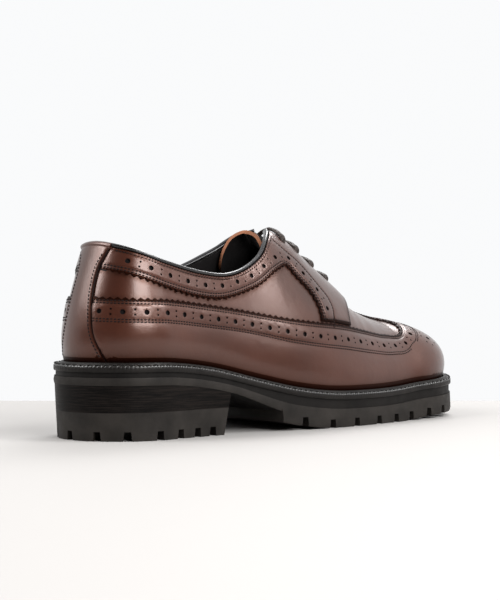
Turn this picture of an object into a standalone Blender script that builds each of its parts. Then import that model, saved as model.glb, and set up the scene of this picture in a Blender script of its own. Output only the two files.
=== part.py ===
"""Right longwing derby brogue shoe on a lugged rubber sole, as an assembly of separate solids.

Sizes are millimetres in the shoe's own axes: x runs from the back of the sole to the toe, y across
with the outer side negative, z up from the floor. Meshes are written in metres, centred on the sole.
The form of the last is a row of upright sections. A place on it is (s, w): s runs along the feather
edge from the back seam, up the outer side, round the toe and back on the inner side, and w runs up
the section from 0 at the feather edge to 1 at the ridge.
"""
import math

import bmesh
import bpy
import numpy as np
from mathutils import Vector
from mathutils.geometry import delaunay_2d_cdt

MM = 0.001

# Driving dimensions
SOLE_LENGTH = 304.0
BALL_WIDTH = 100.0
INSTEP_HEIGHT = 130.0
HEEL_HEIGHT = 42.0
FORE_HEIGHT = 21.5
WALL = 2.0
GAP = 0.4
OVERLAY = 1.3
BACKSTAY_THICK = 1.6

# Fans that turn the sections round the heel and the toe
HEEL_CENTRE = 0.145 * SOLE_LENGTH
TOE_CENTRE = 0.81 * SOLE_LENGTH
HEEL_TURN = 36.0
TOE_TURN = 44.0
S_SIDE = HEEL_TURN * math.pi / 2
S_TOE = S_SIDE + TOE_CENTRE - HEEL_CENTRE
S_END = S_TOE + TOE_TURN * math.pi / 2
TOE_SHIFT = 5.0
SHIFT_START = 0.43 * SOLE_LENGTH


def at_heel(degrees):
    """Place of a section of the heel fan, 0 at the back seam."""
    return HEEL_TURN * math.radians(degrees)


def at_x(x):
    """Place of a straight section across the shoe."""
    return S_SIDE + x - HEEL_CENTRE


def at_toe(degrees):
    """Place of a section of the toe fan, 0 at the tip."""
    return S_TOE + TOE_TURN * math.radians(90 - degrees)


# Sections of the last. outer, inner, lean, crown and half_top are percent of BALL_WIDTH, feather is
# percent of HEEL_HEIGHT, rise, drop and top are percent of INSTEP_HEIGHT, welt is in millimetres.
SECTION_COLUMNS = (
    "place", "outer", "inner", "feather", "lean", "rise", "crown", "drop", "half_top", "top", "welt")
SECTIONS = [
    (at_heel(0), 37.0, 37.0, 100.0, 6.0, 20.0, 9.0, 23.0, 18.5, 98.5, 8.0),
    (at_heel(45), 34.5, 34.5, 100.0, 6.0, 20.0, 9.0, 23.0, 19.5, 98.5, 8.0),
    (at_heel(90), 32.0, 31.5, 99.0, 6.0, 19.0, 9.0, 24.5, 19.0, 99.0, 7.5),
    (at_x(75), 32.0, 30.0, 90.5, 6.5, 18.5, 10.0, 24.5, 17.0, 100.0, 7.0),
    (at_x(110), 36.5, 30.0, 71.5, 7.0, 18.5, 13.0, 20.0, 9.0, 100.5, 6.5),
    (at_x(135), 41.0, 33.0, 58.5, 7.0, 18.5, 24.0, 7.0, 0.0, 96.0, 6.5),
    (at_x(160), 44.5, 37.5, 51.0, 6.5, 17.0, 25.5, 3.0, 0.0, 87.5, 6.5),
    (at_x(190), 47.0, 43.0, 49.0, 5.5, 14.0, 26.0, 1.5, 0.0, 70.0, 6.0),
    (at_x(218), 46.5, 46.0, 50.0, 4.5, 12.5, 27.0, 0.0, 0.0, 55.5, 6.0),
    (at_toe(90), 45.5, 45.5, 55.0, 4.0, 11.5, 28.0, 0.0, 0.0, 48.5, 5.8),
    (at_toe(45), 48.8, 48.8, 59.5, 8.0, 15.2, 38.5, 3.4, 0.0, 48.5, 7.6),
    (at_toe(0), 53.5, 53.5, 64.0, 8.0, 15.2, 41.5, 4.6, 0.0, 48.5, 6.4),
]
PERCENT_OF = {
    "outer": BALL_WIDTH, "inner": BALL_WIDTH, "lean": BALL_WIDTH, "crown": BALL_WIDTH, "half_top": BALL_WIDTH,
    "feather": HEEL_HEIGHT, "rise": INSTEP_HEIGHT, "drop": INSTEP_HEIGHT, "top": INSTEP_HEIGHT,
}
SECTION = dict(zip(SECTION_COLUMNS, np.array(SECTIONS).T))
SECTION.update({name: SECTION[name] * whole / 100 for name, whole in PERCENT_OF.items()})

# Pattern lines of the upper. COLLAR and BAND_EDGE give a height above the floor at each place, WING_RISE
# a height along the surface above the feather edge, BACKSTAY its half width at each height above that edge.
COLLAR = np.array([
    (at_heel(0), 110.0), (at_heel(45), 107.0), (at_heel(90), 100.0), (at_x(75), 93.3), (at_x(92), 92.3),
    (at_x(110), 96.5), (at_x(125), 104.5), (at_x(136), 113.5), (at_x(146), 119.5), (at_x(156), 124.0),
])
# How much higher the collar is on the inner side
INNER_RISE = np.array([
    (at_x(75), 0.0), (at_x(95), 2.5), (at_x(108), 4.3), (at_x(116), 4.7), (at_x(127), 3.6), (at_x(136), 2.6),
    (at_x(145), 0.0),
])
BAND_EDGE = np.array([
    (at_heel(0), 94.0), (at_heel(45), 91.0), (at_heel(90), 83.5), (at_x(69), 78.0), (at_x(84), 76.8),
    (at_x(100), 79.2), (at_x(118), 84.6), (at_x(138), 94.5), (at_x(146), 95.8),
])
WING_RISE = np.array([
    (at_heel(0), 37.5), (at_heel(90), 36.5), (at_x(77), 37.0), (at_x(106), 40.0), (at_x(140), 42.0),
    (at_x(180), 42.0), (at_x(208), 39.0), (at_x(231), 36.0),
])
BACKSTAY = np.array([
    (0.0, 19.0), (4.0, 17.5), (15.0, 12.5), (30.0, 10.0), (42.0, 9.3), (54.0, 10.5), (68.0, 17.0),
])
# Facing and wing tip in plan: x and distance from the ridge
EYESTAY_BACK = [(148.5, 27.3), (152.0, 29.0), (156.0, 30.8), (159.2, 32.8), (161.0, 35.4)]
EYESTAY_FRONT = [(200.5, 5.5), (202.4, 8.5), (202.4, 14.0), (199.5, 22.5), (194.5, 30.5)]
EYESTAY_FOOT = (190.5, 161.0)
WING_BAY_START = 231.0
WING_BAY = [
    (239.0, 31.0), (245.5, 29.4), (249.8, 26.4), (252.4, 22.0), (252.6, 16.5), (248.5, 11.8), (240.5, 8.2),
    (230.0, 5.2),
]
WING_PEAK = 216.0
THROAT_TOP = (148.0, 12.0)
THROAT_END = (197.5, 8.0)
THROAT_ROUND = 6.0
COLLAR_LOW = 2.5
BAND_FRONT = 145.0
BAND_FOOT = 52.5
BAND_TOP = 65.5
BACKSTAY_TOP = 61.0
OVERLAY_FOOT = 0.6
WING_BACK = (34.0, 3.0)

# Sole layers: depth below the feather edge, over the heel and under the forefoot
WELT_DEPTH = 4.2
WELT_LEDGE = 5.0
WELT_BEAD = [(2.4, -GAP), (3.0, 1.9), (4.2, 1.9), (4.8, -GAP)]
MIDSOLE_DEPTH = (6.8, 9.4)
MIDSOLE_STEP = 1.2
OUTSOLE_DEPTH = (11.5, 15.7)
WAIST = (88.0, 132.0)
TREAD_START = 123.0
TREAD_SLOPE = 0.4
EDGE_ROUND = 0.4
EDGE_RISE = 2.0
HEEL_RUBBER = 15.6
HEEL_TAPER = (2.2, 1.3, 0.6)
BREAST = (83.0, 85.5, 87.0)
INSOLE = 2.8
FORE_NOTCHES = (138.7, 159.4, 179.6, 200.0, 217.5, 233.4)
TOE_NOTCHES = (84.0, 66.0, 47.0, 28.0, 9.0)
HEEL_NOTCHES = (at_heel(0), at_heel(24), at_heel(48), at_heel(76), at_x(50), at_x(63), at_x(74.5))
NOTCH = {"width": 5.5, "top": 3.8, "height": 5.2, "depth": 9.0}
GROOVE = {"width": 6.0, "height": 4.5, "fore_half": 24.0, "heel_half": 20.0}
CUT_PAST = 3.0
FORE_GROOVES = (150.0, 169.5, 190.0, 209.0, 226.0)
HEEL_GROOVES = (30.0, 56.0)

# Laces, binding and tongue
LACE_PLACES = (153.5, 165.7, 178.5, 191.5)
LACE_REACH = 15.0
LACE = {"width": 5.0, "height": 2.6}
BINDING = {"width": 4.0, "height": 2.0, "inset": 0.2, "short": 1.0, "step": 7.8}
TONGUE = {
    "thick": 2.6, "clear": 1.2, "back": 137.0, "side": 139.0, "front": 206.0,
    "half": 24.0, "front_half": 15.0, "side_points": 7,
}
# Back edge of the tongue in plan, from the ridge to its side: x and distance from the ridge
TONGUE_END = {
    -1: [(136.6, 5.0), (136.2, 10.0), (136.2, 14.0), (136.6, 18.0), (137.4, 22.0)],
    1: [(135.4, 5.0), (132.4, 10.0), (129.6, 14.0), (127.6, 18.0), (128.4, 22.0)],
}
# It is bent to an arch: its rise at each distance from the ridge, outer side first, and along the ridge
TONGUE_ARCH = np.array([
    (-24.0, -1.0), (-18.0, 0.0), (-14.0, 0.9), (-11.0, 1.2), (-6.0, -0.3), (0.0, -1.9), (7.0, -0.2),
    (12.0, 1.0), (16.0, 0.2), (20.0, -0.6), (24.0, -1.0),
])
TONGUE_DIP = np.array([(136.0, 0.0), (139.0, -2.4), (143.0, -5.0), (150.0, -5.5), (158.0, -3.6), (172.0, 0.0)])
ARCH_FADE = (140.0, 168.0)


def curve_through(rows, at):
    """Height of a smooth curve through a table's rows, level at both ends."""
    place, value = rows[:, 0], rows[:, 1]
    step = np.diff(place)
    rate = np.diff(value) / step
    slope = np.zeros(len(place))
    slope[1:-1] = (rate[:-1] * step[1:] + rate[1:] * step[:-1]) / (step[:-1] + step[1:])
    at = np.clip(at, place[0], place[-1])
    i = np.clip(np.searchsorted(place, at) - 1, 0, len(step) - 1)
    u = (at - place[i]) / step[i]
    start = (1 + 2 * u) * (1 - u) ** 2 * value[i] + u * (1 - u) ** 2 * step[i] * slope[i]
    end = u * u * (3 - 2 * u) * value[i + 1] + u * u * (u - 1) * step[i] * slope[i + 1]
    return start + end


def column(name, place):
    """A column of the section table at any place."""
    return curve_through(np.stack([SECTION["place"], SECTION[name]], 1), place)


def ease(value, start, end):
    """0 before start, 1 after end, smooth between."""
    u = np.clip((np.asarray(value, float) - start) / (end - start), 0, 1)
    return u * u * (3 - 2 * u)


def fold(s):
    """Place along one side and the side itself, -1 outer and 1 inner."""
    turn = np.mod(np.asarray(s, float), 2 * S_END)
    outer = turn <= S_END
    return np.where(outer, turn, 2 * S_END - turn), np.where(outer, -1.0, 1.0)


def ridge_y(x):
    """The ridge bends to the inner side towards the toe."""
    return TOE_SHIFT * ease(x, SHIFT_START, TOE_CENTRE)


def axis(s):
    """Axis point and outward direction of the section at s, in plan."""
    place, side = fold(s)
    heel = np.clip(place / HEEL_TURN, 0, math.pi / 2)
    toe = np.clip((place - S_TOE) / TOE_TURN, 0, math.pi / 2)
    x = np.clip(HEEL_CENTRE + place - S_SIDE, HEEL_CENTRE, TOE_CENTRE)
    along = np.sin(toe) - np.cos(heel)
    across = side * np.sin(heel) * np.cos(toe)
    return x, ridge_y(x), along, across


def section(s, w):
    """Distance from the axis and height of the section at s, a cubic from feather edge to ridge."""
    place, side = fold(s)
    foot = np.where(side < 0, column("outer", place), column("inner", place))
    low = column("feather", place)
    half_top = column("half_top", place)
    top = column("top", np.minimum(place, S_TOE))
    out = (foot, foot + column("lean", place), half_top + column("crown", place), half_top)
    up = (low, low + column("rise", place), top - column("drop", place), top)
    weights = ((1 - w) ** 3, 3 * w * (1 - w) ** 2, 3 * w * w * (1 - w), w ** 3)
    return sum(b * p for b, p in zip(weights, out)), sum(b * p for b, p in zip(weights, up))


def form(s, w):
    """Points of the last's surface."""
    s, w = np.broadcast_arrays(np.asarray(s, float), np.asarray(w, float))
    x, y, along, across = axis(s)
    r, z = section(s, w)
    return np.stack([x + along * r, y + across * r, z], -1)


def one_sided_normal(s, w):
    """Outward normals worked out from one side of the form, away from its very edges."""
    w = np.clip(w, 0.002, 0.985)
    ds, dw = 0.5, 0.002
    along = form(s + ds, w) - form(s - ds, w)
    up = form(s, w + dw) - form(s, w - dw)
    normal = np.cross(along, up)
    return normal / np.linalg.norm(normal, axis=-1, keepdims=True)


def normal(s, w):
    """Outward normals of the form. On the ridge the two sides share theirs."""
    s, w = np.broadcast_arrays(np.asarray(s, float), np.asarray(w, float))
    here = one_sided_normal(s, w)
    both = here + one_sided_normal(2 * S_END - s, w)
    both /= np.linalg.norm(both, axis=-1, keepdims=True)
    return np.where((w > 0.999)[..., None], both, here)


def lifted(s, w, height):
    """Points at a distance from the form, outward positive."""
    return form(s, w) + normal(s, w) * np.asarray(height, float)[..., None]


STEPS = np.linspace(0, 1, 241)


def profile_search(s, target, measure):
    """The w at which a rising measure of the section reaches the target, for each s."""
    found = []
    for place, goal in zip(np.atleast_1d(s), np.broadcast_to(target, np.shape(np.atleast_1d(s)))):
        found.append(np.interp(goal, measure(place), STEPS))
    return np.array(found)


def w_at_height(s, z):
    return profile_search(s, z, lambda place: section(place, STEPS)[1])


def w_at_rise(s, rise):
    """The w at a distance along the surface above the feather edge."""
    def climbed(place):
        r, z = section(place, STEPS)
        return np.concatenate([[0], np.cumsum(np.hypot(np.diff(r), np.diff(z)))])
    return profile_search(s, rise, climbed)


def w_at_reach(s, reach):
    """The w on the upper flank at a distance from the ridge."""
    def inward(place):
        r = section(place, STEPS)[0]
        widest = r.argmax()
        return np.where(np.arange(len(r)) < widest, -1e3, -r)
    return profile_search(s, -np.asarray(reach, float), inward)


def from_plan(x, reach, side):
    """(s, w) of a point of the forefoot seen from above."""
    angle = math.atan2(reach, x - TOE_CENTRE)
    place = at_x(x) if x <= TOE_CENTRE else at_toe(math.degrees(angle))
    distance = reach if x <= TOE_CENTRE else math.hypot(reach, x - TOE_CENTRE)
    s = place if side < 0 else 2 * S_END - place
    return s, float(w_at_reach(s, distance)[0])


def collar_edge(place, side):
    """Height of the collar's edge, on the outer side -1 or the inner side 1."""
    return curve_through(COLLAR, place) + np.where(side > 0, curve_through(INNER_RISE, place), 0.0)


def collar_height(place, below=0.0, side=-1):
    """Height of a line that runs a distance below the collar's edge."""
    side = np.asarray(side)
    slope = (collar_edge(place + 1, side) - collar_edge(place - 1, side)) / 2
    return collar_edge(place, side) - below * np.hypot(1, slope)


def throat_half(x):
    """Half of the lace gap, closing in a round end."""
    share = (x - THROAT_TOP[0]) / (THROAT_END[0] - THROAT_TOP[0])
    half = (THROAT_TOP[1] + share * (THROAT_END[1] - THROAT_TOP[1])) / 2
    closing = np.clip((x - THROAT_END[0] + THROAT_ROUND) / THROAT_ROUND, 0, 1)
    return half * np.sqrt(1 - closing ** 2)


def top_edge(s):
    """The w where the upper ends: collar, then lace gap, then the ridge."""
    place, side = fold(s)
    x = HEEL_CENTRE + place - S_SIDE
    collar = w_at_height(s, collar_height(place, COLLAR_LOW, side))
    throat = w_at_reach(s, throat_half(x))
    ridge = x > THROAT_END[0] - 0.01
    behind = x < THROAT_TOP[0] - THROAT_TOP[1]
    return np.where(ridge, 1.0, np.where(behind, collar, np.minimum(collar, throat)))


ALL_ROUND = np.linspace(0, 2 * S_END, 721)[:-1]


def sole_edge(s, offset):
    """Plan points at a distance outside the feather edge."""
    edge = form(s, 0.0)
    along = form(s + 0.5, 0.0) - form(s - 0.5, 0.0)
    out = np.stack([along[..., 1], -along[..., 0]], -1)
    out /= np.linalg.norm(out, axis=-1, keepdims=True)
    return edge[..., :2] + out * np.asarray(offset, float)[..., None]


def welt_width(s):
    return column("welt", fold(s)[0])


SOLE_PLAN = sole_edge(ALL_ROUND, welt_width(ALL_ROUND))
ORIGIN = np.append((SOLE_PLAN.min(0) + SOLE_PLAN.max(0)) / 2, 0.0)


def material(name, colour, roughness):
    """Plain finish: colour, roughness and no metal."""
    finish = bpy.data.materials.new(name)
    finish.use_nodes = True
    shader = finish.node_tree.nodes["Principled BSDF"]
    shader.inputs["Base Color"].default_value = (*colour, 1.0)
    shader.inputs["Roughness"].default_value = roughness
    shader.inputs["Metallic"].default_value = 0.0
    return finish


MERGE_DISTANCE = 0.02
SHARP_ANGLE = 35.0


def solid(name, points, faces, finish):
    """One closed object from points in millimetres."""
    mesh = bpy.data.meshes.new(name)
    mesh.from_pydata(((np.asarray(points) - ORIGIN) * MM).tolist(), [], faces)
    work = bmesh.new()
    work.from_mesh(mesh)
    bmesh.ops.remove_doubles(work, verts=work.verts, dist=MERGE_DISTANCE * MM)
    bmesh.ops.recalc_face_normals(work, faces=work.faces)
    work.to_mesh(mesh)
    work.free()
    mesh.shade_smooth()
    mesh.set_sharp_from_angle(angle=math.radians(SHARP_ANGLE))
    mesh.materials.append(finish)
    thing = bpy.data.objects.new(name, mesh)
    bpy.context.scene.collection.objects.link(thing)
    return thing


# Upper: one hollow wall, open at the collar, the lace gap and underneath
UPPER_STEP = 8.8
UPPER_ROWS = 9


def side_places():
    """Places of the sections along one side, with the corners of the lace gap among them."""
    straight = np.linspace(S_SIDE, S_TOE, round((S_TOE - S_SIDE) / UPPER_STEP) + 1)
    heel = np.linspace(0, S_SIDE, round(S_SIDE / UPPER_STEP) + 1)[:-1]
    toe = np.linspace(S_TOE, S_END, round((S_END - S_TOE) / UPPER_STEP) + 2)[1:]
    corners = [at_x(THROAT_END[0] - THROAT_ROUND / 3), at_x(THROAT_END[0])]
    return np.unique(np.concatenate([heel, straight, toe, corners]))


def loop_places(places):
    """The same places on both sides, once round the shoe."""
    return np.concatenate([places, 2 * S_END - places[-2:0:-1]])


def make_upper(finish):
    s = loop_places(side_places())
    top = top_edge(s)
    share = np.linspace(0, 1, UPPER_ROWS + 1)
    places = np.repeat(s[:, None], len(share), 1)
    heights = top[:, None] * share[None, :]
    outside = form(places, heights)
    inside = lifted(places, heights, np.full(places.shape, -WALL))
    points = np.concatenate([outside.reshape(-1, 3), inside.reshape(-1, 3)])
    count, rows = len(s), len(share)
    faces = []
    for i in range(count):
        j = (i + 1) % count
        for k in range(rows - 1):
            a, b, c, d = i * rows + k, j * rows + k, j * rows + k + 1, i * rows + k + 1
            inner = count * rows
            faces.append((a, b, c, d))
            faces.append((a + inner, d + inner, c + inner, b + inner))
        faces.append((i * rows, i * rows + inner, j * rows + inner, j * rows))
        if not (top[i] == 1.0 and top[j] == 1.0):
            e, f = i * rows + rows - 1, j * rows + rows - 1
            faces.append((e, f, f + inner, e + inner))
    return solid("upper", points, faces, finish)


# Overlays and tongue: sheets that follow the form between two heights, cut along an outline
FLAT_REACH = 90.0
COARSE_STEP = 9.0
FINE_STEP = 6.5
EDGE_CLEAR = 0.4
EDGE_STEP = 7.0
BACK_POINTS = 5
BACKSTAY_POINTS = 9


def flat(s, w):
    """Pattern plane: the form opened out around the ridge."""
    x, _, along, across = axis(s)
    reach = FLAT_REACH * (1 - np.asarray(w, float))
    return np.stack([x + along * reach, across * reach], -1)


def unflat(plane):
    """(s, w) places of points of the pattern plane."""
    u, v = plane[:, 0], np.abs(plane[:, 1])
    beyond = u - np.clip(u, HEEL_CENTRE, TOE_CENTRE)
    place = S_SIDE + u - HEEL_CENTRE
    place = np.where(beyond < 0, HEEL_TURN * np.arctan2(v, -beyond), place)
    place = np.where(beyond > 0, S_TOE + TOE_TURN * np.arctan2(beyond, v), place)
    s = np.where(plane[:, 1] < 0, place, 2 * S_END - place)
    return np.stack([s, 1 - np.hypot(beyond, v) / FLAT_REACH], -1)


def inside_outline(points, outline):
    """Which points lie inside a closed outline."""
    x, y = points[:, 0][:, None], points[:, 1][:, None]
    ax, ay = outline[:, 0], outline[:, 1]
    bx, by = np.roll(ax, -1), np.roll(ay, -1)
    crosses = (ay > y) != (by > y)
    rise = np.where(by == ay, 1.0, by - ay)
    left = x < ax + (y - ay) * (bx - ax) / rise
    return (crosses & left).sum(1) % 2 == 1


def distance_to(points, outline):
    """How far each point is from a closed outline."""
    start = outline[None]
    run = np.roll(outline, -1, 0)[None] - start
    away = points[:, None] - start
    share = np.clip((away * run).sum(2) / np.maximum((run * run).sum(2), 1e-9), 0, 1)
    return np.linalg.norm(away - share[..., None] * run, axis=2).min(1)


def sheet(name, outline, low, high, finish, step=COARSE_STEP, rise=None):
    """Sheet between two heights over the form, raised by its rise. The outline is a list of (s, w) places."""
    edge = np.array(outline, float)
    edge_plane = flat(edge[:, 0], edge[:, 1])
    low_corner, high_corner = edge_plane.min(0), edge_plane.max(0)
    grid_u = np.arange(low_corner[0], high_corner[0], step)
    grid_v = np.arange(-FLAT_REACH, FLAT_REACH + step, step)
    grid = np.stack(np.meshgrid(grid_u, grid_v), -1).reshape(-1, 2)
    grid = grid[inside_outline(grid, edge_plane) & (distance_to(grid, edge_plane) > EDGE_CLEAR * step)]
    places = np.concatenate([edge, unflat(grid)])
    plane = np.concatenate([edge_plane, grid])
    count = len(edge)
    ring = [(i, (i + 1) % count) for i in range(count)]
    made = delaunay_2d_cdt([Vector(p) for p in plane], ring, [], 1, 1e-5)
    source = np.array([ids[0] for ids in made[3]])
    place_of = {old: new for new, ids in enumerate(made[3]) for old in ids}
    used = places[source]
    extra = rise(used) if rise else np.zeros(len(used))
    upper_points = lifted(used[:, 0], used[:, 1], high + extra)
    lower_points = lifted(used[:, 0], used[:, 1], low + extra)
    total = len(used)
    faces = [tuple(f) for f in made[2]]
    faces += [tuple(i + total for i in reversed(f)) for f in made[2]]
    for a, b in ring:
        i, j = place_of[a], place_of[b]
        faces.append((i, j, j + total, i + total))
    return solid(name, np.concatenate([upper_points, lower_points]), faces, finish)


def mirror(outline):
    """The same outline on the inner side."""
    return [(2 * S_END - s, w) for s, w in outline]


def along(start, end, step=8.0):
    """Places from start to end, evenly spaced."""
    return np.linspace(start, end, max(2, round(abs(end - start) / step) + 1))


def wing_line(places, beside=0.0):
    return list(zip(places, w_at_rise(places, curve_through(WING_RISE, places) + beside)))


def foot_line(places):
    """(s, w) places just above the feather edge."""
    return list(zip(places, w_at_rise(places, OVERLAY_FOOT)))


def backstay_half(rise):
    """Half width of the backstay at one height above the feather edge."""
    return curve_through(BACKSTAY, np.array([rise]))[0]


def backstay_edge(rises, beside):
    """(s, w) places along the outer edge of the backstay."""
    half = curve_through(BACKSTAY, rises) + beside
    return list(zip(half, [float(w_at_rise(s, rise)[0]) for s, rise in zip(half, rises)]))


def wing_bay(side):
    return [from_plan(x, reach, side) for x, reach in WING_BAY]


def make_longwing(finish):
    back = backstay_edge(np.linspace(*WING_BACK, BACK_POINTS), GAP)
    start = backstay_half(OVERLAY_FOOT) + GAP
    foot = foot_line(along(start, 2 * S_END - start))
    top = wing_line(along(backstay_half(WING_RISE[0, 1]) + GAP, at_x(WING_BAY_START)))
    outer = top + wing_bay(-1)
    inner = mirror(top) + wing_bay(1)
    peak = [(at_x(WING_PEAK), 1.0)]
    outline = foot + mirror(back)[::-1] + inner + peak + outer[::-1] + back
    return sheet("longwing", outline, GAP, GAP + OVERLAY, finish)


def collar_corner():
    """Place where the collar meets the lace gap."""
    x = THROAT_TOP[0] + np.linspace(-8, 12, 201)
    places = at_x(x)
    collar = w_at_height(places, collar_height(places, COLLAR_LOW))
    throat = w_at_reach(places, throat_half(x))
    return places[np.argmax(collar > throat)]


def facing_outline(side):
    """Collar band and lace facing of one quarter, laid on the outer side. Its collar is that of its own side."""
    corner = collar_corner()
    top_places = along(backstay_half(BAND_TOP) + GAP, corner, EDGE_STEP)
    top = list(zip(top_places, w_at_height(top_places, collar_height(top_places, COLLAR_LOW, side))))
    throat_places = along(corner, at_x(THROAT_END[0]), EDGE_STEP)[1:]
    throat_x = np.minimum(throat_places - S_SIDE + HEEL_CENTRE, THROAT_END[0] - THROAT_ROUND)
    half = throat_half(throat_x) + GAP
    throat = list(zip(throat_places, w_at_reach(throat_places, half)))
    front = [from_plan(x, reach, -1) for x, reach in EYESTAY_FRONT]
    foot = wing_line(along(at_x(EYESTAY_FOOT[0]), at_x(EYESTAY_FOOT[1]), EDGE_STEP), 1.5 * GAP)
    inner = [from_plan(x, reach, -1) for x, reach in EYESTAY_BACK][::-1]
    band_places = along(at_x(BAND_FRONT), backstay_half(BAND_FOOT) + GAP, EDGE_STEP)
    band = list(zip(band_places, w_at_height(band_places, curve_through(BAND_EDGE, band_places))))
    back = backstay_edge(np.linspace(BAND_FOOT, BAND_TOP, BACK_POINTS)[1:-1], GAP)
    return top + throat + front + foot + inner + band + back


def make_backstay(finish):
    rises = np.linspace(OVERLAY_FOOT, BACKSTAY_TOP, BACKSTAY_POINTS)
    side = backstay_edge(rises, 0.0)
    top_places = along(backstay_half(BAND_TOP), 0.0, FINE_STEP)
    top = list(zip(top_places, w_at_height(top_places, collar_height(top_places, COLLAR_LOW))))
    foot = foot_line(along(-side[0][0], side[0][0], FINE_STEP)[1:-1])
    half = side + top
    other = [(-s, w) for s, w in half[:-1]][::-1]
    return sheet("backstay", half + other + foot, GAP, GAP + BACKSTAY_THICK, finish, FINE_STEP)


def tongue_rise(places):
    """Rise of the arch at the tongue's back end."""
    point = form(places[:, 0], places[:, 1])
    arch = curve_through(TONGUE_ARCH, point[:, 1] - ridge_y(point[:, 0]))
    return arch * (1 - ease(point[:, 0], *ARCH_FADE)) + curve_through(TONGUE_DIP, point[:, 0])


def make_tongue(finish):
    """Sheet under the facings, from the vamp to just behind the lace gap."""
    below = WALL + TONGUE["clear"]
    outline = []
    for side in (-1, 1):
        edge = [from_plan(x, reach, side) for x, reach in TONGUE_END[side]]
        for x in np.linspace(TONGUE["side"], TONGUE["front"], TONGUE["side_points"]):
            share = (x - TONGUE["side"]) / (TONGUE["front"] - TONGUE["side"])
            reach = TONGUE["half"] + share * (TONGUE["front_half"] - TONGUE["half"])
            edge.append(from_plan(x, reach, side))
        outline.append(edge)
    ridge_front = [(at_x(TONGUE["front"]), 1.0)]
    ridge_back = [(at_x(TONGUE["back"]), 1.0)]
    loop = outline[0] + ridge_front + outline[1][::-1] + ridge_back
    return sheet("tongue", loop, -below - TONGUE["thick"], -below, finish, FINE_STEP, tongue_rise)


# Swept strips: binding and laces
LACE_POINTS = 6


def sweep(name, centres, sides, ups, width, height, finish, corners=8):
    """Closed tube of oval section along a path. sides and ups are the section's axes."""
    turn = 2 * math.pi * np.arange(corners) / corners
    rings = []
    for centre, side, up in zip(centres, sides, ups):
        ring = centre + np.outer(np.cos(turn), side) * width / 2 + np.outer(np.sin(turn), up) * height / 2
        rings.append(ring)
    faces = [tuple(range(corners))[::-1]]
    for i in range(len(rings) - 1):
        for k in range(corners):
            a, b = i * corners + k, i * corners + (k + 1) % corners
            faces.append((a, b, b + corners, a + corners))
    faces.append(tuple((len(rings) - 1) * corners + k for k in range(corners)))
    return solid(name, np.concatenate(rings), faces, finish)


def make_binding(finish):
    """Rolled edge round the collar, from one facing corner to the other."""
    corner = collar_corner() - BINDING["short"]
    places = along(-corner, corner, BINDING["step"])
    heights = w_at_height(places, collar_height(np.abs(places), BINDING["height"] / 2, -np.sign(places)))
    path = form(places, heights)
    out = normal(places, heights)
    tangent = np.gradient(path, axis=0)
    tangent /= np.linalg.norm(tangent, axis=1, keepdims=True)
    up = np.cross(out, tangent)
    centres = path - out * BINDING["inset"]
    return sweep("topline_binding", centres, out, up, BINDING["width"], BINDING["height"], finish)


def make_lace(index, x, finish):
    """One bar of the lace, from facing to facing."""
    reaches = np.linspace(LACE_REACH, 0, LACE_POINTS)
    outer = [from_plan(x, reach, -1) for reach in reaches[:-1]] + [(at_x(x), 1.0)]
    places = np.array(outer + mirror(outer[:-1])[::-1])
    over = GAP + OVERLAY + GAP + LACE["height"] / 2
    path = lifted(places[:, 0], places[:, 1], np.full(len(places), over))
    up = normal(places[:, 0], places[:, 1])
    tangent = np.gradient(path, axis=0)
    tangent /= np.linalg.norm(tangent, axis=1, keepdims=True)
    side = np.cross(tangent, up)
    return sweep(f"lace_{index}", path, side, up, LACE["width"], LACE["height"], finish)


# Sole layers
HEEL_POINTS = 9


def heel_to_fore(x, depths):
    return depths[0] + (depths[1] - depths[0]) * ease(x, *WAIST)


def layer(name, levels, finish, places):
    """Plate through outlines from bottom to top. Each level gives offset and height for an array of s."""
    points, faces = [], []
    for offset, height, reach in levels:
        one_side = places * reach
        whole = places[-1] == S_END
        other = 2 * S_END - (one_side[-2:0:-1] if whole else one_side[:0:-1])
        s = np.concatenate([one_side, other])
        points.append(np.column_stack([sole_edge(s, offset(s)), height(s)]))
    count = len(points[0])
    half = len(one_side)
    outer = list(range(half))
    inner = [0] + [count - i for i in range(1, half)]
    for level in range(len(levels) - 1):
        low, high = level * count, (level + 1) * count
        for i in range(count):
            j = (i + 1) % count
            faces.append((low + i, low + j, high + j, high + i))
    for base, flip in ((0, True), ((len(levels) - 1) * count, False)):
        for i in range(half - 1):
            ring = [outer[i], outer[i + 1], inner[i + 1], inner[i]]
            face = tuple(base + v for v in dict.fromkeys(ring))
            faces.append(face[::-1] if flip else face)
    return solid(name, np.concatenate(points), faces, finish)


def feather(s):
    return column("feather", fold(s)[0])


def x_of(s):
    return form(s, 0.0)[..., 0]


def beyond_welt(amount):
    return lambda s: welt_width(s) + amount


def beside_feather(amount):
    return lambda s: np.full(np.shape(s), amount)


def below_feather(depth):
    return lambda s: feather(s) - depth


def below_by_part(depths, extra=0.0):
    return lambda s: feather(s) - heel_to_fore(x_of(s), depths) - extra


def at_height(height):
    return lambda s: np.full(np.shape(s), height)


def make_welt(finish):
    """Ring under the upper's edge with a raised bead beside it."""
    s = loop_places(side_places())
    width = welt_width(s)
    profile = [(np.full(len(s), -WELT_LEDGE), -WELT_DEPTH), (np.full(len(s), -WELT_LEDGE), -GAP)]
    profile += [(np.full(len(s), offset), height) for offset, height in WELT_BEAD]
    profile += [(width, -GAP), (width, -WELT_DEPTH)]
    rings = [np.column_stack([sole_edge(s, offset), feather(s) + height]) for offset, height in profile]
    count, faces = len(s), []
    for k in range(len(rings)):
        for i in range(count):
            j = (i + 1) % count
            a, b = k * count, (k + 1) % len(rings) * count
            faces.append((a + i, a + j, b + j, b + i))
    return solid("welt", np.concatenate(rings), faces, finish)


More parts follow.
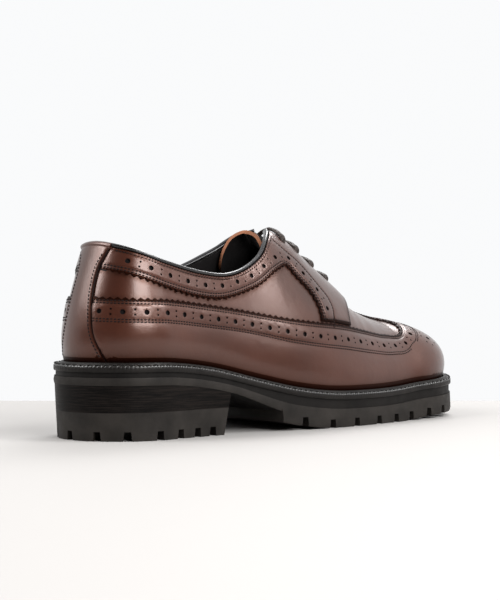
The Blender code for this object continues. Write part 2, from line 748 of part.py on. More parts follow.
def make_insole(finish):
    levels = [
        (beside_feather(-WELT_LEDGE - GAP), below_feather(WELT_DEPTH), 1),
        (beside_feather(-WELT_LEDGE - GAP), below_feather(0.0), 1),
        (beside_feather(-WALL - 2 * GAP), below_feather(0.0), 1),
        (beside_feather(-WALL - 2 * GAP), below_feather(-INSOLE), 1),
    ]
    return layer("insole", levels, finish, side_places())


def make_midsole(finish):
    levels = [
        (beyond_welt(-MIDSOLE_STEP), below_by_part(MIDSOLE_DEPTH), 1),
        (beyond_welt(-MIDSOLE_STEP), below_feather(WELT_DEPTH + GAP), 1),
    ]
    return layer("midsole", levels, finish, side_places())


def tread_height(s):
    """Underside of the sole: arched over the waist, flat on the floor at the ball, sprung at the toe."""
    x = x_of(s)
    waist = feather(s) - heel_to_fore(x, OUTSOLE_DEPTH)
    return np.where(x < TREAD_START, waist, np.maximum(0.0, feather(s) - FORE_HEIGHT))


def wedge(s, base, floor):
    """Corners of one tapered cutter that bites into the sole's edge from outside and below."""
    edge = sole_edge(np.array([s]), np.array([base]))[0]
    inner = sole_edge(np.array([s]), np.array([base - 1]))[0]
    out = edge - inner
    tangent = np.array([-out[1], out[0]])
    points = []
    for z, width in ((floor - CUT_PAST, NOTCH["width"]), (floor + NOTCH["height"], NOTCH["top"])):
        for reach, side in ((-NOTCH["depth"], -1), (CUT_PAST, -1), (CUT_PAST, 1), (-NOTCH["depth"], 1)):
            points.append(np.append(edge + out * reach + tangent * side * width / 2, z))
    return points


BOX_FACES = [(3, 2, 1, 0), (4, 5, 6, 7), (0, 1, 5, 4), (1, 2, 6, 5), (2, 3, 7, 6), (3, 0, 4, 7)]


def cut_with(target, name, blocks):
    """Cuts eight-cornered blocks out of an object."""
    points, faces = [], []
    for block in blocks:
        faces += [tuple(len(points) + v for v in face) for face in BOX_FACES]
        points += list(block)
    cutter = solid(name, points, faces, target.data.materials[0])
    cutter.hide_render = True
    cutter.display_type = "WIRE"
    cut = target.modifiers.new("notches", "BOOLEAN")
    cut.operation = "DIFFERENCE"
    cut.solver = "EXACT"
    cut.object = cutter


def groove(x, half):
    """Block across the flat underside of the sole."""
    y = float(ridge_y(x))
    corners = ((-1, -1), (1, -1), (1, 1), (-1, 1))
    plan = [(x + a * GROOVE["width"] / 2, y + b * half) for a, b in corners]
    return [np.array([px, py, z]) for z in (-CUT_PAST, GROOVE["height"]) for px, py in plan]


def make_outsole(finish):
    levels = [
        (beyond_welt(-EDGE_ROUND), tread_height, 1),
        (beyond_welt(0.0), lambda s: tread_height(s) + EDGE_RISE, 1),
        (beyond_welt(-EDGE_ROUND), below_by_part(MIDSOLE_DEPTH, GAP), 1),
    ]
    tread_face = at_x(TREAD_START) + np.array([-TREAD_SLOPE, TREAD_SLOPE])
    return layer("outsole", levels, finish, np.union1d(side_places(), tread_face))


def cut_outsole(outsole):
    places = [at_x(x) for x in FORE_NOTCHES] + [at_toe(angle) for angle in TOE_NOTCHES]
    places += [2 * S_END - s for s in places]
    blocks = [wedge(s, welt_width(s), tread_height(np.array([s]))[0]) for s in places]
    blocks += [groove(x, GROOVE["fore_half"]) for x in FORE_GROOVES]
    cut_with(outsole, "outsole_notches", blocks)


def heel_places():
    return np.concatenate([np.linspace(0, S_SIDE, HEEL_POINTS), along(S_SIDE, at_x(BREAST[2]), COARSE_STEP)[1:]])


def breast_share(x):
    """How far round the heel an outline reaches when its front is at x."""
    return at_x(x) / at_x(BREAST[2])


def make_heel_stack(finish):
    levels = [
        (beyond_welt(-HEEL_TAPER[1]), at_height(HEEL_RUBBER + GAP), breast_share(BREAST[1])),
        (beyond_welt(-HEEL_TAPER[2]), below_by_part(OUTSOLE_DEPTH, GAP), 1),
    ]
    return layer("heel_stack", levels, finish, heel_places())


def make_heel_rubber(finish):
    levels = [
        (beyond_welt(-HEEL_TAPER[0]), at_height(0.0), breast_share(BREAST[0])),
        (beyond_welt(-HEEL_TAPER[1]), at_height(HEEL_RUBBER), breast_share(BREAST[1])),
    ]
    heel = layer("heel_top_piece", levels, finish, heel_places())
    places = list(HEEL_NOTCHES) + [2 * S_END - s for s in HEEL_NOTCHES[1:]]
    blocks = [wedge(s, welt_width(s) - HEEL_TAPER[0], 0.0) for s in places]
    blocks += [groove(x, GROOVE["heel_half"]) for x in HEEL_GROOVES]
    cut_with(heel, "heel_notches", blocks)


def main():
    for thing in list(bpy.data.objects):
        bpy.data.objects.remove(thing)
    leather = material("brown_leather", (0.075, 0.026, 0.017), 0.32)
    dark_leather = material("dark_leather", (0.030, 0.014, 0.010), 0.40)
    binding = material("binding_leather", (0.012, 0.012, 0.015), 0.35)
    lining = material("tan_lining", (0.21, 0.10, 0.05), 0.60)
    rubber = material("black_rubber", (0.020, 0.020, 0.021), 0.55)
    edge = material("black_edge", (0.012, 0.012, 0.012), 0.45)
    stack = material("stacked_leather", (0.018, 0.013, 0.011), 0.50)
    cord = material("lace_cotton", (0.030, 0.020, 0.017), 0.75)

    outsole = make_outsole(rubber)
    cut_outsole(outsole)
    make_midsole(edge)
    make_welt(edge)
    make_heel_stack(stack)
    make_heel_rubber(rubber)
    make_insole(lining)
    make_upper(leather)
    make_tongue(lining)
    make_longwing(leather)
    sheet("facing_outer", facing_outline(-1), GAP, GAP + OVERLAY, leather, FINE_STEP)
    sheet("facing_inner", mirror(facing_outline(1)), GAP, GAP + OVERLAY, leather, FINE_STEP)
    make_backstay(dark_leather)
    make_binding(binding)
    for index, x in enumerate(LACE_PLACES, 1):
        make_lace(index, x, cord)


main()
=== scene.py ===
"""Looks of a right longwing derby brogue shoe on a lugged rubber sole.

Sizes are millimetres in the shoe's own axes: x runs from the back of the sole to the toe, y across
with the outer side negative, z up from the floor. Meshes are written in metres in the frame's axes.
A place on the last is (s, w): s runs along the feather edge from the back seam, up the outer side,
round the toe and back on the inner side, and w runs up the section from 0 at the feather edge to 1
at the ridge.
"""
import math

import bmesh
import bpy
import numpy as np
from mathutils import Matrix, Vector
from mathutils.geometry import delaunay_2d_cdt
from mathutils.kdtree import KDTree


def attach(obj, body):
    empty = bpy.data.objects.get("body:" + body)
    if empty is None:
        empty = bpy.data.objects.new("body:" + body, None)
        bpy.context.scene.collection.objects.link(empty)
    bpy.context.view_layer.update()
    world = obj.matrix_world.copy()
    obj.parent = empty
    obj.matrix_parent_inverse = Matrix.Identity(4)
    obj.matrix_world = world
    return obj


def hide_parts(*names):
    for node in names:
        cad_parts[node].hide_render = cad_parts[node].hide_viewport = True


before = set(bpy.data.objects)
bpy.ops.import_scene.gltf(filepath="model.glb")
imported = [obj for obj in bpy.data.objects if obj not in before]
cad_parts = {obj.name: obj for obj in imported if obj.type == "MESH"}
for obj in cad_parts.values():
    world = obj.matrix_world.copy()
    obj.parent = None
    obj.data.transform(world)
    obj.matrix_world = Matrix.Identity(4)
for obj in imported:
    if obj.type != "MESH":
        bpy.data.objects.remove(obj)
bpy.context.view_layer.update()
for thing in [o for o in bpy.data.objects if o.type in ("LIGHT", "CAMERA")]:
    bpy.data.objects.remove(thing)

MM = 0.001

# Driving dimensions
SOLE_LENGTH = 304.0
BALL_WIDTH = 100.0
INSTEP_HEIGHT = 130.0
HEEL_HEIGHT = 42.0
FORE_HEIGHT = 21.5
WALL = 2.0
GAP = 0.4
OVERLAY = 1.3

# Fans that turn the sections round the heel and the toe
HEEL_CENTRE = 0.145 * SOLE_LENGTH
TOE_CENTRE = 0.81 * SOLE_LENGTH
HEEL_TURN = 36.0
TOE_TURN = 44.0
S_SIDE = HEEL_TURN * math.pi / 2
S_TOE = S_SIDE + TOE_CENTRE - HEEL_CENTRE
S_END = S_TOE + TOE_TURN * math.pi / 2
TOE_SHIFT = 5.0
SHIFT_START = 0.43 * SOLE_LENGTH


def at_heel(degrees):
    """Place of a section of the heel fan, 0 at the back seam."""
    return HEEL_TURN * math.radians(degrees)


def at_x(x):
    """Place of a straight section across the shoe."""
    return S_SIDE + x - HEEL_CENTRE


def at_toe(degrees):
    """Place of a section of the toe fan, 0 at the tip."""
    return S_TOE + TOE_TURN * math.radians(90 - degrees)


# Sections of the last. outer, inner, lean, crown and half_top are percent of BALL_WIDTH, feather is
# percent of HEEL_HEIGHT, rise, drop and top are percent of INSTEP_HEIGHT, welt is in millimetres.
SECTION_COLUMNS = (
    "place", "outer", "inner", "feather", "lean", "rise", "crown", "drop", "half_top", "top", "welt")
SECTIONS = [
    (at_heel(0), 37.0, 37.0, 100.0, 6.0, 20.0, 9.0, 23.0, 18.5, 98.5, 8.0),
    (at_heel(45), 34.5, 34.5, 100.0, 6.0, 20.0, 9.0, 23.0, 19.5, 98.5, 8.0),
    (at_heel(90), 32.0, 31.5, 99.0, 6.0, 19.0, 9.0, 24.5, 19.0, 99.0, 7.5),
    (at_x(75), 32.0, 30.0, 90.5, 6.5, 18.5, 10.0, 24.5, 17.0, 100.0, 7.0),
    (at_x(110), 36.5, 30.0, 71.5, 7.0, 18.5, 13.0, 20.0, 9.0, 100.5, 6.5),
    (at_x(135), 41.0, 33.0, 58.5, 7.0, 18.5, 24.0, 7.0, 0.0, 96.0, 6.5),
    (at_x(160), 44.5, 37.5, 51.0, 6.5, 17.0, 25.5, 3.0, 0.0, 87.5, 6.5),
    (at_x(190), 47.0, 43.0, 49.0, 5.5, 14.0, 26.0, 1.5, 0.0, 70.0, 6.0),
    (at_x(218), 46.5, 46.0, 50.0, 4.5, 12.5, 27.0, 0.0, 0.0, 55.5, 6.0),
    (at_toe(90), 45.5, 45.5, 55.0, 4.0, 11.5, 28.0, 0.0, 0.0, 48.5, 5.8),
    (at_toe(45), 48.8, 48.8, 59.5, 8.0, 15.2, 38.5, 3.4, 0.0, 48.5, 7.6),
    (at_toe(0), 53.5, 53.5, 64.0, 8.0, 15.2, 41.5, 4.6, 0.0, 48.5, 6.4),
]
PERCENT_OF = {
    "outer": BALL_WIDTH, "inner": BALL_WIDTH, "lean": BALL_WIDTH, "crown": BALL_WIDTH, "half_top": BALL_WIDTH,
    "feather": HEEL_HEIGHT, "rise": INSTEP_HEIGHT, "drop": INSTEP_HEIGHT, "top": INSTEP_HEIGHT,
}
SECTION = dict(zip(SECTION_COLUMNS, np.array(SECTIONS).T))
SECTION.update({name: SECTION[name] * whole / 100 for name, whole in PERCENT_OF.items()})

# Pattern lines of the upper. COLLAR and BAND_EDGE give a height above the floor at each place, WING_RISE
# a height along the surface above the feather edge, BACKSTAY its half width at each height above that edge.
COLLAR = np.array([
    (at_heel(0), 110.0), (at_heel(45), 107.0), (at_heel(90), 100.0), (at_x(75), 93.3), (at_x(92), 92.3),
    (at_x(110), 96.5), (at_x(125), 104.5), (at_x(136), 113.5), (at_x(146), 119.5), (at_x(156), 124.0),
])
# How much higher the collar is on the inner side
INNER_RISE = np.array([
    (at_x(75), 0.0), (at_x(95), 2.5), (at_x(108), 4.3), (at_x(116), 4.7), (at_x(127), 3.6), (at_x(136), 2.6),
    (at_x(145), 0.0),
])
BAND_EDGE = np.array([
    (at_heel(0), 94.0), (at_heel(45), 91.0), (at_heel(90), 83.5), (at_x(69), 78.0), (at_x(84), 76.8),
    (at_x(100), 79.2), (at_x(118), 84.6), (at_x(138), 94.5), (at_x(146), 95.8),
])
WING_RISE = np.array([
    (at_heel(0), 37.5), (at_heel(90), 36.5), (at_x(77), 37.0), (at_x(106), 40.0), (at_x(140), 42.0),
    (at_x(180), 42.0), (at_x(208), 39.0), (at_x(231), 36.0),
])
BACKSTAY = np.array([
    (0.0, 19.0), (4.0, 17.5), (15.0, 12.5), (30.0, 10.0), (42.0, 9.3), (54.0, 10.5), (68.0, 17.0),
])
# Facing and wing tip in plan: x and distance from the ridge
EYESTAY_BACK = [(148.5, 27.3), (152.0, 29.0), (156.0, 30.8), (159.2, 32.8), (161.0, 35.4)]
EYESTAY_FRONT = [(200.5, 5.5), (202.4, 8.5), (202.4, 14.0), (199.5, 22.5), (194.5, 30.5)]
EYESTAY_FOOT = (190.5, 161.0)
WING_BAY_START = 231.0
WING_BAY = [
    (239.0, 31.0), (245.5, 29.4), (249.8, 26.4), (252.4, 22.0), (252.6, 16.5), (248.5, 11.8), (240.5, 8.2),
    (230.0, 5.2),
]
WING_PEAK = 216.0
THROAT_TOP = (148.0, 12.0)
THROAT_END = (197.5, 8.0)
THROAT_ROUND = 6.0
COLLAR_LOW = 2.5
BAND_FRONT = 145.0
BAND_FOOT = 52.5
BAND_TOP = 65.5
BACKSTAY_TOP = 61.0
BACKSTAY_THICK = 1.6
OVERLAY_FOOT = 0.6
WING_BACK = (34.0, 3.0)

# Creases over the ball: x on the ridge, bend back at the sides, half length, depth, half width
CREASES = [(204.0, 7.0, 30.0, 0.30, 3.0), (212.0, 9.0, 34.0, 0.36, 3.4), (221.0, 11.0, 36.0, 0.26, 3.8)]
# Swell in front of each crease: share of its depth and distance in half widths
SWELL = {"share": 0.55, "away": 1.7}
# Soft hollows and swells of the sides: s, height above the feather edge, half length, half height, depth
HOLLOWS = [
    (74.0, 46.0, 26.0, 16.0, 0.55), (128.0, 24.0, 34.0, 14.0, 0.45), (196.0, 18.0, 30.0, 12.0, 0.35),
    (46.0, 20.0, 18.0, 12.0, -0.40), (160.0, 40.0, 24.0, 14.0, -0.35), (64.0, 12.0, 44.0, 9.0, -1.1),
]


def cubic(u, step, first, last, leaving, arriving):
    """Curve from first to last over a step, by its slopes at both ends. u runs from 0 to 1."""
    start = (1 + 2 * u) * (1 - u) ** 2 * first + u * (1 - u) ** 2 * step * leaving
    end = u * u * (3 - 2 * u) * last + u * u * (u - 1) * step * arriving
    return start + end


def curve_through(rows, at):
    """Height of a smooth curve through a table's rows, level at both ends."""
    place, value = rows[:, 0], rows[:, 1]
    step = np.diff(place)
    rate = np.diff(value) / step
    slope = np.zeros(len(place))
    slope[1:-1] = (rate[:-1] * step[1:] + rate[1:] * step[:-1]) / (step[:-1] + step[1:])
    at = np.clip(at, place[0], place[-1])
    i = np.clip(np.searchsorted(place, at) - 1, 0, len(step) - 1)
    u = (at - place[i]) / step[i]
    return cubic(u, step[i], value[i], value[i + 1], slope[i], slope[i + 1])


def column(name, place):
    """A column of the section table at any place."""
    return curve_through(np.stack([SECTION["place"], SECTION[name]], 1), place)


def ease(value, start, end):
    """0 before start, 1 after end, smooth between."""
    u = np.clip((np.asarray(value, float) - start) / (end - start), 0, 1)
    return u * u * (3 - 2 * u)


def fold(s):
    """Place along one side and the side itself, -1 outer and 1 inner."""
    turn = np.mod(np.asarray(s, float), 2 * S_END)
    outer = turn <= S_END
    return np.where(outer, turn, 2 * S_END - turn), np.where(outer, -1.0, 1.0)


def ridge_y(x):
    """The ridge bends to the inner side towards the toe."""
    return TOE_SHIFT * ease(x, SHIFT_START, TOE_CENTRE)


def axis(s):
    """Axis point and outward direction of the section at s, in plan."""
    place, side = fold(s)
    heel = np.clip(place / HEEL_TURN, 0, math.pi / 2)
    toe = np.clip((place - S_TOE) / TOE_TURN, 0, math.pi / 2)
    x = np.clip(HEEL_CENTRE + place - S_SIDE, HEEL_CENTRE, TOE_CENTRE)
    along = np.sin(toe) - np.cos(heel)
    across = side * np.sin(heel) * np.cos(toe)
    return x, ridge_y(x), along, across


def section(s, w):
    """Distance from the axis and height of the section at s, a cubic from feather edge to ridge."""
    place, side = fold(s)
    foot = np.where(side < 0, column("outer", place), column("inner", place))
    low = column("feather", place)
    half_top = column("half_top", place)
    top = column("top", np.minimum(place, S_TOE))
    out = (foot, foot + column("lean", place), half_top + column("crown", place), half_top)
    up = (low, low + column("rise", place), top - column("drop", place), top)
    weights = ((1 - w) ** 3, 3 * w * (1 - w) ** 2, 3 * w * w * (1 - w), w ** 3)
    return sum(b * p for b, p in zip(weights, out)), sum(b * p for b, p in zip(weights, up))


def form(s, w):
    """Points of the last's surface."""
    s, w = np.broadcast_arrays(np.asarray(s, float), np.asarray(w, float))
    x, y, along, across = axis(s)
    r, z = section(s, w)
    return np.stack([x + along * r, y + across * r, z], -1)


def spots(places):
    """Points of the last's surface at rows of (s, w)."""
    return form(places[:, 0], places[:, 1])


def unit(vectors):
    return vectors / np.maximum(np.linalg.norm(vectors, axis=-1, keepdims=True), 1e-9)


# Steps and range of w over which the form's slopes are taken
S_STEP, W_STEP = 0.5, 0.002
W_RANGE = (0.002, 0.985)
# Range of w near the ridge over which the two sides blend their normals
RIDGE_BLEND = (0.93, 1.0)


def rates(s, w):
    """How the form moves with s and with w."""
    w = np.clip(w, *W_RANGE)
    along = (form(s + S_STEP, w) - form(s - S_STEP, w)) / (2 * S_STEP)
    up = (form(s, w + W_STEP) - form(s, w - W_STEP)) / (2 * W_STEP)
    return along, up


def one_sided_normal(s, w):
    return unit(np.cross(*rates(s, w)))


def normal(s, w):
    """Outward normals of the form. Near the ridge the two sides blend theirs."""
    s, w = np.broadcast_arrays(np.asarray(s, float), np.asarray(w, float))
    here = one_sided_normal(s, w)
    both = unit(here + one_sided_normal(2 * S_END - s, w))
    share = ease(w, *RIDGE_BLEND)[..., None]
    return unit(here * (1 - share) + both * share)


def relief(s, w):
    """Height of the creases and of the soft hollows, in millimetres."""
    point = form(s, w)
    place, _ = fold(s)
    reach = point[..., 1] - ridge_y(point[..., 0])
    rise = point[..., 2] - column("feather", place)
    height = np.zeros(np.shape(reach))
    for x, bend, half, depth, width in CREASES:
        away = point[..., 0] - x + bend * (reach / half) ** 2
        swell = SWELL["share"] * np.exp(-((away - SWELL["away"] * width) / width) ** 2)
        wave = np.exp(-(away / width) ** 2) - swell
        height -= depth * wave * np.exp(-(reach / half) ** 4)
    for centre, up, long, tall, depth in HOLLOWS:
        away = ((place - centre) / long) ** 2 + ((rise - up) / tall) ** 2
        height -= depth * np.exp(-away)
    return height


def lifted(s, w, height):
    """Points at a distance from the creased form, outward positive."""
    return form(s, w) + normal(s, w) * (np.asarray(height, float) + relief(s, w))[..., None]


def raised(places, height):
    """Points at a distance from the creased form at rows of (s, w)."""
    return lifted(places[:, 0], places[:, 1], height)


PROFILE_POINTS = 241
STEPS = np.linspace(0, 1, PROFILE_POINTS)


def profile_search(s, target, measure):
    """The w at which a rising measure of the section reaches the target, for each s."""
    s = np.atleast_1d(np.asarray(s, float))
    goal = np.broadcast_to(target, s.shape)
    values = measure(s[:, None])
    i = np.clip((values < goal[:, None]).sum(1), 1, len(STEPS) - 1)
    low = np.take_along_axis(values, i[:, None] - 1, 1)[:, 0]
    high = np.take_along_axis(values, i[:, None], 1)[:, 0]
    share = np.clip((goal - low) / np.maximum(high - low, 1e-9), 0, 1)
    return STEPS[i - 1] + share * (STEPS[i] - STEPS[i - 1])


def w_at_height(s, z):
    return profile_search(s, z, lambda place: section(place, STEPS[None])[1])


def w_at_rise(s, rise):
    """The w at a distance along the surface above the feather edge."""
    def climbed(place):
        r, z = section(place, STEPS[None])
        steps = np.hypot(np.diff(r, axis=1), np.diff(z, axis=1))
        return np.concatenate([np.zeros((len(r), 1)), np.cumsum(steps, 1)], 1)
    return profile_search(s, rise, climbed)


def w_at_reach(s, reach):
    """The w on the upper flank at a distance from the ridge."""
    def inward(place):
        r = section(place, STEPS[None])[0]
        widest = r.argmax(1)[:, None]
        return np.where(np.arange(r.shape[1])[None] < widest, -1e3, -r)
    return profile_search(s, -np.asarray(reach, float), inward)


def from_plan(x, reach, side=-1):
    """(s, w) of a point of the forefoot seen from above."""
    angle = math.atan2(reach, x - TOE_CENTRE)
    place = at_x(x) if x <= TOE_CENTRE else at_toe(math.degrees(angle))
    distance = reach if x <= TOE_CENTRE else math.hypot(reach, x - TOE_CENTRE)
    s = place if side < 0 else 2 * S_END - place
    return s, float(w_at_reach(s, distance)[0])


def collar_edge(place, side):
    """Height of the collar's edge, on the outer side -1 or the inner side 1."""
    return curve_through(COLLAR, place) + np.where(side > 0, curve_through(INNER_RISE, place), 0.0)


def collar_height(place, below, side=-1):
    """Height of a line that runs a distance below the collar's edge."""
    side = np.asarray(side)
    slope = (collar_edge(place + 1, side) - collar_edge(place - 1, side)) / 2
    return collar_edge(place, side) - below * np.hypot(1, slope)


def throat_half(x):
    """Half of the lace gap, closing in a round end."""
    share = (x - THROAT_TOP[0]) / (THROAT_END[0] - THROAT_TOP[0])
    half = (THROAT_TOP[1] + share * (THROAT_END[1] - THROAT_TOP[1])) / 2
    closing = np.clip((x - THROAT_END[0] + THROAT_ROUND) / THROAT_ROUND, 0, 1)
    return half * np.sqrt(1 - closing ** 2)


# Slack with which a place counts as past the lace gap
TOUCH = 0.01


def top_edge(s):
    """The w where the upper ends: collar, then lace gap, then the ridge."""
    place, side = fold(s)
    x = HEEL_CENTRE + place - S_SIDE
    collar = w_at_height(s, collar_height(place, COLLAR_LOW, side))
    throat = w_at_reach(s, throat_half(x))
    ridge = x > THROAT_END[0] - TOUCH
    behind = x < THROAT_TOP[0] - THROAT_TOP[1]
    return np.where(ridge, 1.0, np.where(behind, collar, np.minimum(collar, throat)))


def sole_edge(s, offset):
    """Plan points at a distance outside the feather edge."""
    edge = form(s, 0.0)
    along = form(s + S_STEP, 0.0) - form(s - S_STEP, 0.0)
    out = unit(np.stack([along[..., 1], -along[..., 0]], -1))
    return edge[..., :2] + out * np.asarray(offset, float)[..., None]


def welt_width(s):
    return column("welt", fold(s)[0])


def feather(s):
    return column("feather", fold(s)[0])


ROUND_POINTS = 720
ALL_ROUND = np.linspace(0, 2 * S_END, ROUND_POINTS + 1)[:-1]
SOLE_PLAN = sole_edge(ALL_ROUND, welt_width(ALL_ROUND))
ORIGIN = np.append((SOLE_PLAN.min(0) + SOLE_PLAN.max(0)) / 2, 0.0)


# Materials
def add(tree, kind, inputs=None, **settings):
    """A shader node with its settings, and its inputs as values or as sockets to link."""
    node = tree.nodes.new(kind)
    for key, value in settings.items():
        setattr(node, key, value)
    for key, value in (inputs or {}).items():
        if isinstance(value, bpy.types.NodeSocket):
            tree.links.new(value, node.inputs[key])
        else:
            node.inputs[key].default_value = value
    return node


def start_material(name, specular, **values):
    """A Principled material with plain values on its own sockets."""
    finish = bpy.data.materials.new(name)
    finish.use_nodes = True
    tree = finish.node_tree
    shader = tree.nodes["Principled BSDF"]
    shader.inputs["Specular IOR Level"].default_value = specular
    for key, value in values.items():
        shader.inputs[key.replace("_", " ").title()].default_value = value
    place = add(tree, "ShaderNodeTexCoord").outputs["Object"]
    return finish, tree, shader, place


def noise(tree, place, scale, detail=3.0, roughness=0.55):
    return add(tree, "ShaderNodeTexNoise", {
        "Vector": place, "Scale": scale, "Detail": detail, "Roughness": roughness}).outputs["Fac"]


def ramp(tree, factor, stops):
    """Colours between stops of position and colour."""
    node = add(tree, "ShaderNodeValToRGB", {"Fac": factor})
    elements = node.color_ramp.elements
    while len(elements) < len(stops):
        elements.new(0.5)
    for element, (position, colour) in zip(elements, stops):
        element.position = position
        element.color = (*colour, 1.0)
    return node.outputs["Color"]


def spread(tree, factor, low, high, start=0.3, end=0.7):
    """A factor's middle range spread between two values."""
    return add(tree, "ShaderNodeMapRange", {
        "Value": factor, "From Min": start, "From Max": end, "To Min": low, "To Max": high}).outputs["Result"]


MIX_FACTOR, MIX_FIRST, MIX_SECOND, MIX_OUT = 0, 6, 7, 2


def mix(tree, factor, first, second):
    """One colour over another by a factor."""
    node = add(tree, "ShaderNodeMix", data_type="RGBA")
    tree.links.new(factor, node.inputs[MIX_FACTOR])
    tree.links.new(first, node.inputs[MIX_FIRST])
    node.inputs[MIX_SECOND].default_value = (*second, 1.0)
    return node.outputs[MIX_OUT]


def bumps(tree, shader, layers):
    """Chained bumps, for the coat too. A layer is a height, a strength and a distance in millimetres."""
    before = None
    for height, strength, distance in layers:
        inputs = {"Height": height, "Strength": strength, "Distance": distance * MM}
        if before:
            inputs["Normal"] = before
        before = add(tree, "ShaderNodeBump", inputs).outputs["Normal"]
    tree.links.new(before, shader.inputs["Normal"])
    tree.links.new(before, shader.inputs["Coat Normal"])


# Leather: tint of its gloss, scales of its textures per metre, share of its darkest tone left under full
# painted shade, and strength and distance of its bumps
WARM_GLOSS = (1.0, 0.40, 0.24, 1.0)
LEATHER = {
    "coat_roughness": 0.25, "roughness": (0.29, 0.40), "gloss": 45.0, "clouds": 16.0,
    "stops": (0.30, 0.50, 0.72), "painted_shade_tone": 0.35, "waves": 95.0, "grain": 1500.0, "pores": 3200.0,
}
LEATHER_BUMPS = {"waves": (0.35, 0.45), "grain": (0.14, 0.12), "pores": (0.10, 0.08)}


def leather(name, colours, coat, specular):
    """Polished leather: cloudy colour, fine grain and soft waves under a coat of polish.

    Where the shade attribute is high, painted shade makes the leather dark and takes its polish away.
    """
    finish, tree, shader, place = start_material(
        name, specular, coat_roughness=LEATHER["coat_roughness"], specular_tint=WARM_GLOSS)
    clouds = noise(tree, place, LEATHER["clouds"], detail=4.0)
    colour = ramp(tree, clouds, list(zip(LEATHER["stops"], colours)))
    shade = add(tree, "ShaderNodeAttribute", attribute_name="shade").outputs["Fac"]
    # Painted shade: the colour darkens where the shade attribute is high
    painted_shade_colour = mix(tree, shade, colour, tuple(LEATHER["painted_shade_tone"] * c for c in colours[0]))
    gloss = spread(tree, noise(tree, place, LEATHER["gloss"]), *LEATHER["roughness"])
    tree.links.new(painted_shade_colour, shader.inputs["Base Color"])
    # Painted shade also takes the coat's reflection away
    tree.links.new(spread(tree, shade, coat, 0.0, 0.0, 1.0), shader.inputs["Coat Weight"])
    tree.links.new(gloss, shader.inputs["Roughness"])
    cells = add(tree, "ShaderNodeTexVoronoi", {"Vector": place, "Scale": LEATHER["grain"]})
    heights = {
        "waves": noise(tree, place, LEATHER["waves"], detail=2.0),
        "grain": cells.outputs["Distance"],
        "pores": noise(tree, place, LEATHER["pores"], detail=2.0),
    }
    bumps(tree, shader, [(heights[key], *LEATHER_BUMPS[key]) for key in heights])
    return finish


# Dark materials: scales of tone, gloss and unevenness per metre, and depths of grain and unevenness
PLAIN = {"coat_roughness": 0.2, "tone": 60.0, "stops": (0.30, 0.70), "gloss": 150.0, "uneven": 180.0}
GRAIN_DEPTH = 0.12
UNEVEN = (0.1, 0.3)


def plain_dark(name, colour, rough, scale, bump, coat, tint, specular):
    """Dark material with small changes of tone, a varied gloss and a fine grain."""
    finish, tree, shader, place = start_material(
        name, specular, coat_weight=coat, coat_roughness=PLAIN["coat_roughness"])
    tones = [tuple(c / tint for c in colour), tuple(c * tint for c in colour)]
    tone = ramp(tree, noise(tree, place, PLAIN["tone"], detail=5.0), list(zip(PLAIN["stops"], tones)))
    gloss = spread(tree, noise(tree, place, PLAIN["gloss"]), *rough)
    tree.links.new(tone, shader.inputs["Base Color"])
    tree.links.new(gloss, shader.inputs["Roughness"])
    grain = noise(tree, place, scale)
    bumps(tree, shader, [(grain, bump, GRAIN_DEPTH), (noise(tree, place, PLAIN["uneven"]), *UNEVEN)])
    return finish


# Edge of the heel's lifts and cord of the lace: colours from the low stop to the high one
STACK = {
    "colours": [(0.0020, 0.0016, 0.0014), (0.017, 0.0125, 0.0105)], "stops": (0.45, 0.76), "specular": 0.08,
    "roughness": (0.35, 0.6), "scale": (60.0, 60.0, 1700.0), "bump": (0.5, 0.25),
}
CORD = {
    "colours": [(0.044, 0.028, 0.0205), (0.011, 0.0066, 0.0050)], "stops": (0.1, 0.6), "specular": 0.2,
    "sheen": 0.08, "roughness": (0.45, 0.7), "scale": 1100.0, "bump": (0.6, -0.25),
}


def textured(finish, tree, shader, height, look):
    """Gives colour, gloss and bump of a material by one texture."""
    tree.links.new(ramp(tree, height, list(zip(look["stops"], look["colours"]))), shader.inputs["Base Color"])
    tree.links.new(spread(tree, height, *look["roughness"]), shader.inputs["Roughness"])
    bumps(tree, shader, [(height, *look["bump"])])
    return finish


def stacked(name, look):
    """Edge of leather lifts: fine level streaks of two tones."""
    finish, tree, shader, place = start_material(name, look["specular"])
    level = add(tree, "ShaderNodeMapping", {"Vector": place, "Scale": look["scale"]}).outputs["Vector"]
    return textured(finish, tree, shader, noise(tree, level, 1.0, detail=5.0, roughness=0.7), look)


def woven(name, look):
    """Waxed cotton cord: a fine crossed braid."""
    finish, tree, shader, place = start_material(name, look["specular"], sheen_weight=look["sheen"])
    braid = add(tree, "ShaderNodeTexVoronoi", {"Vector": place, "Scale": look["scale"]}).outputs["Distance"]
    return textured(finish, tree, shader, braid, look)


BROWN = [(0.019, 0.0046, 0.0023), (0.032, 0.0082, 0.0042), (0.046, 0.0125, 0.0066)]
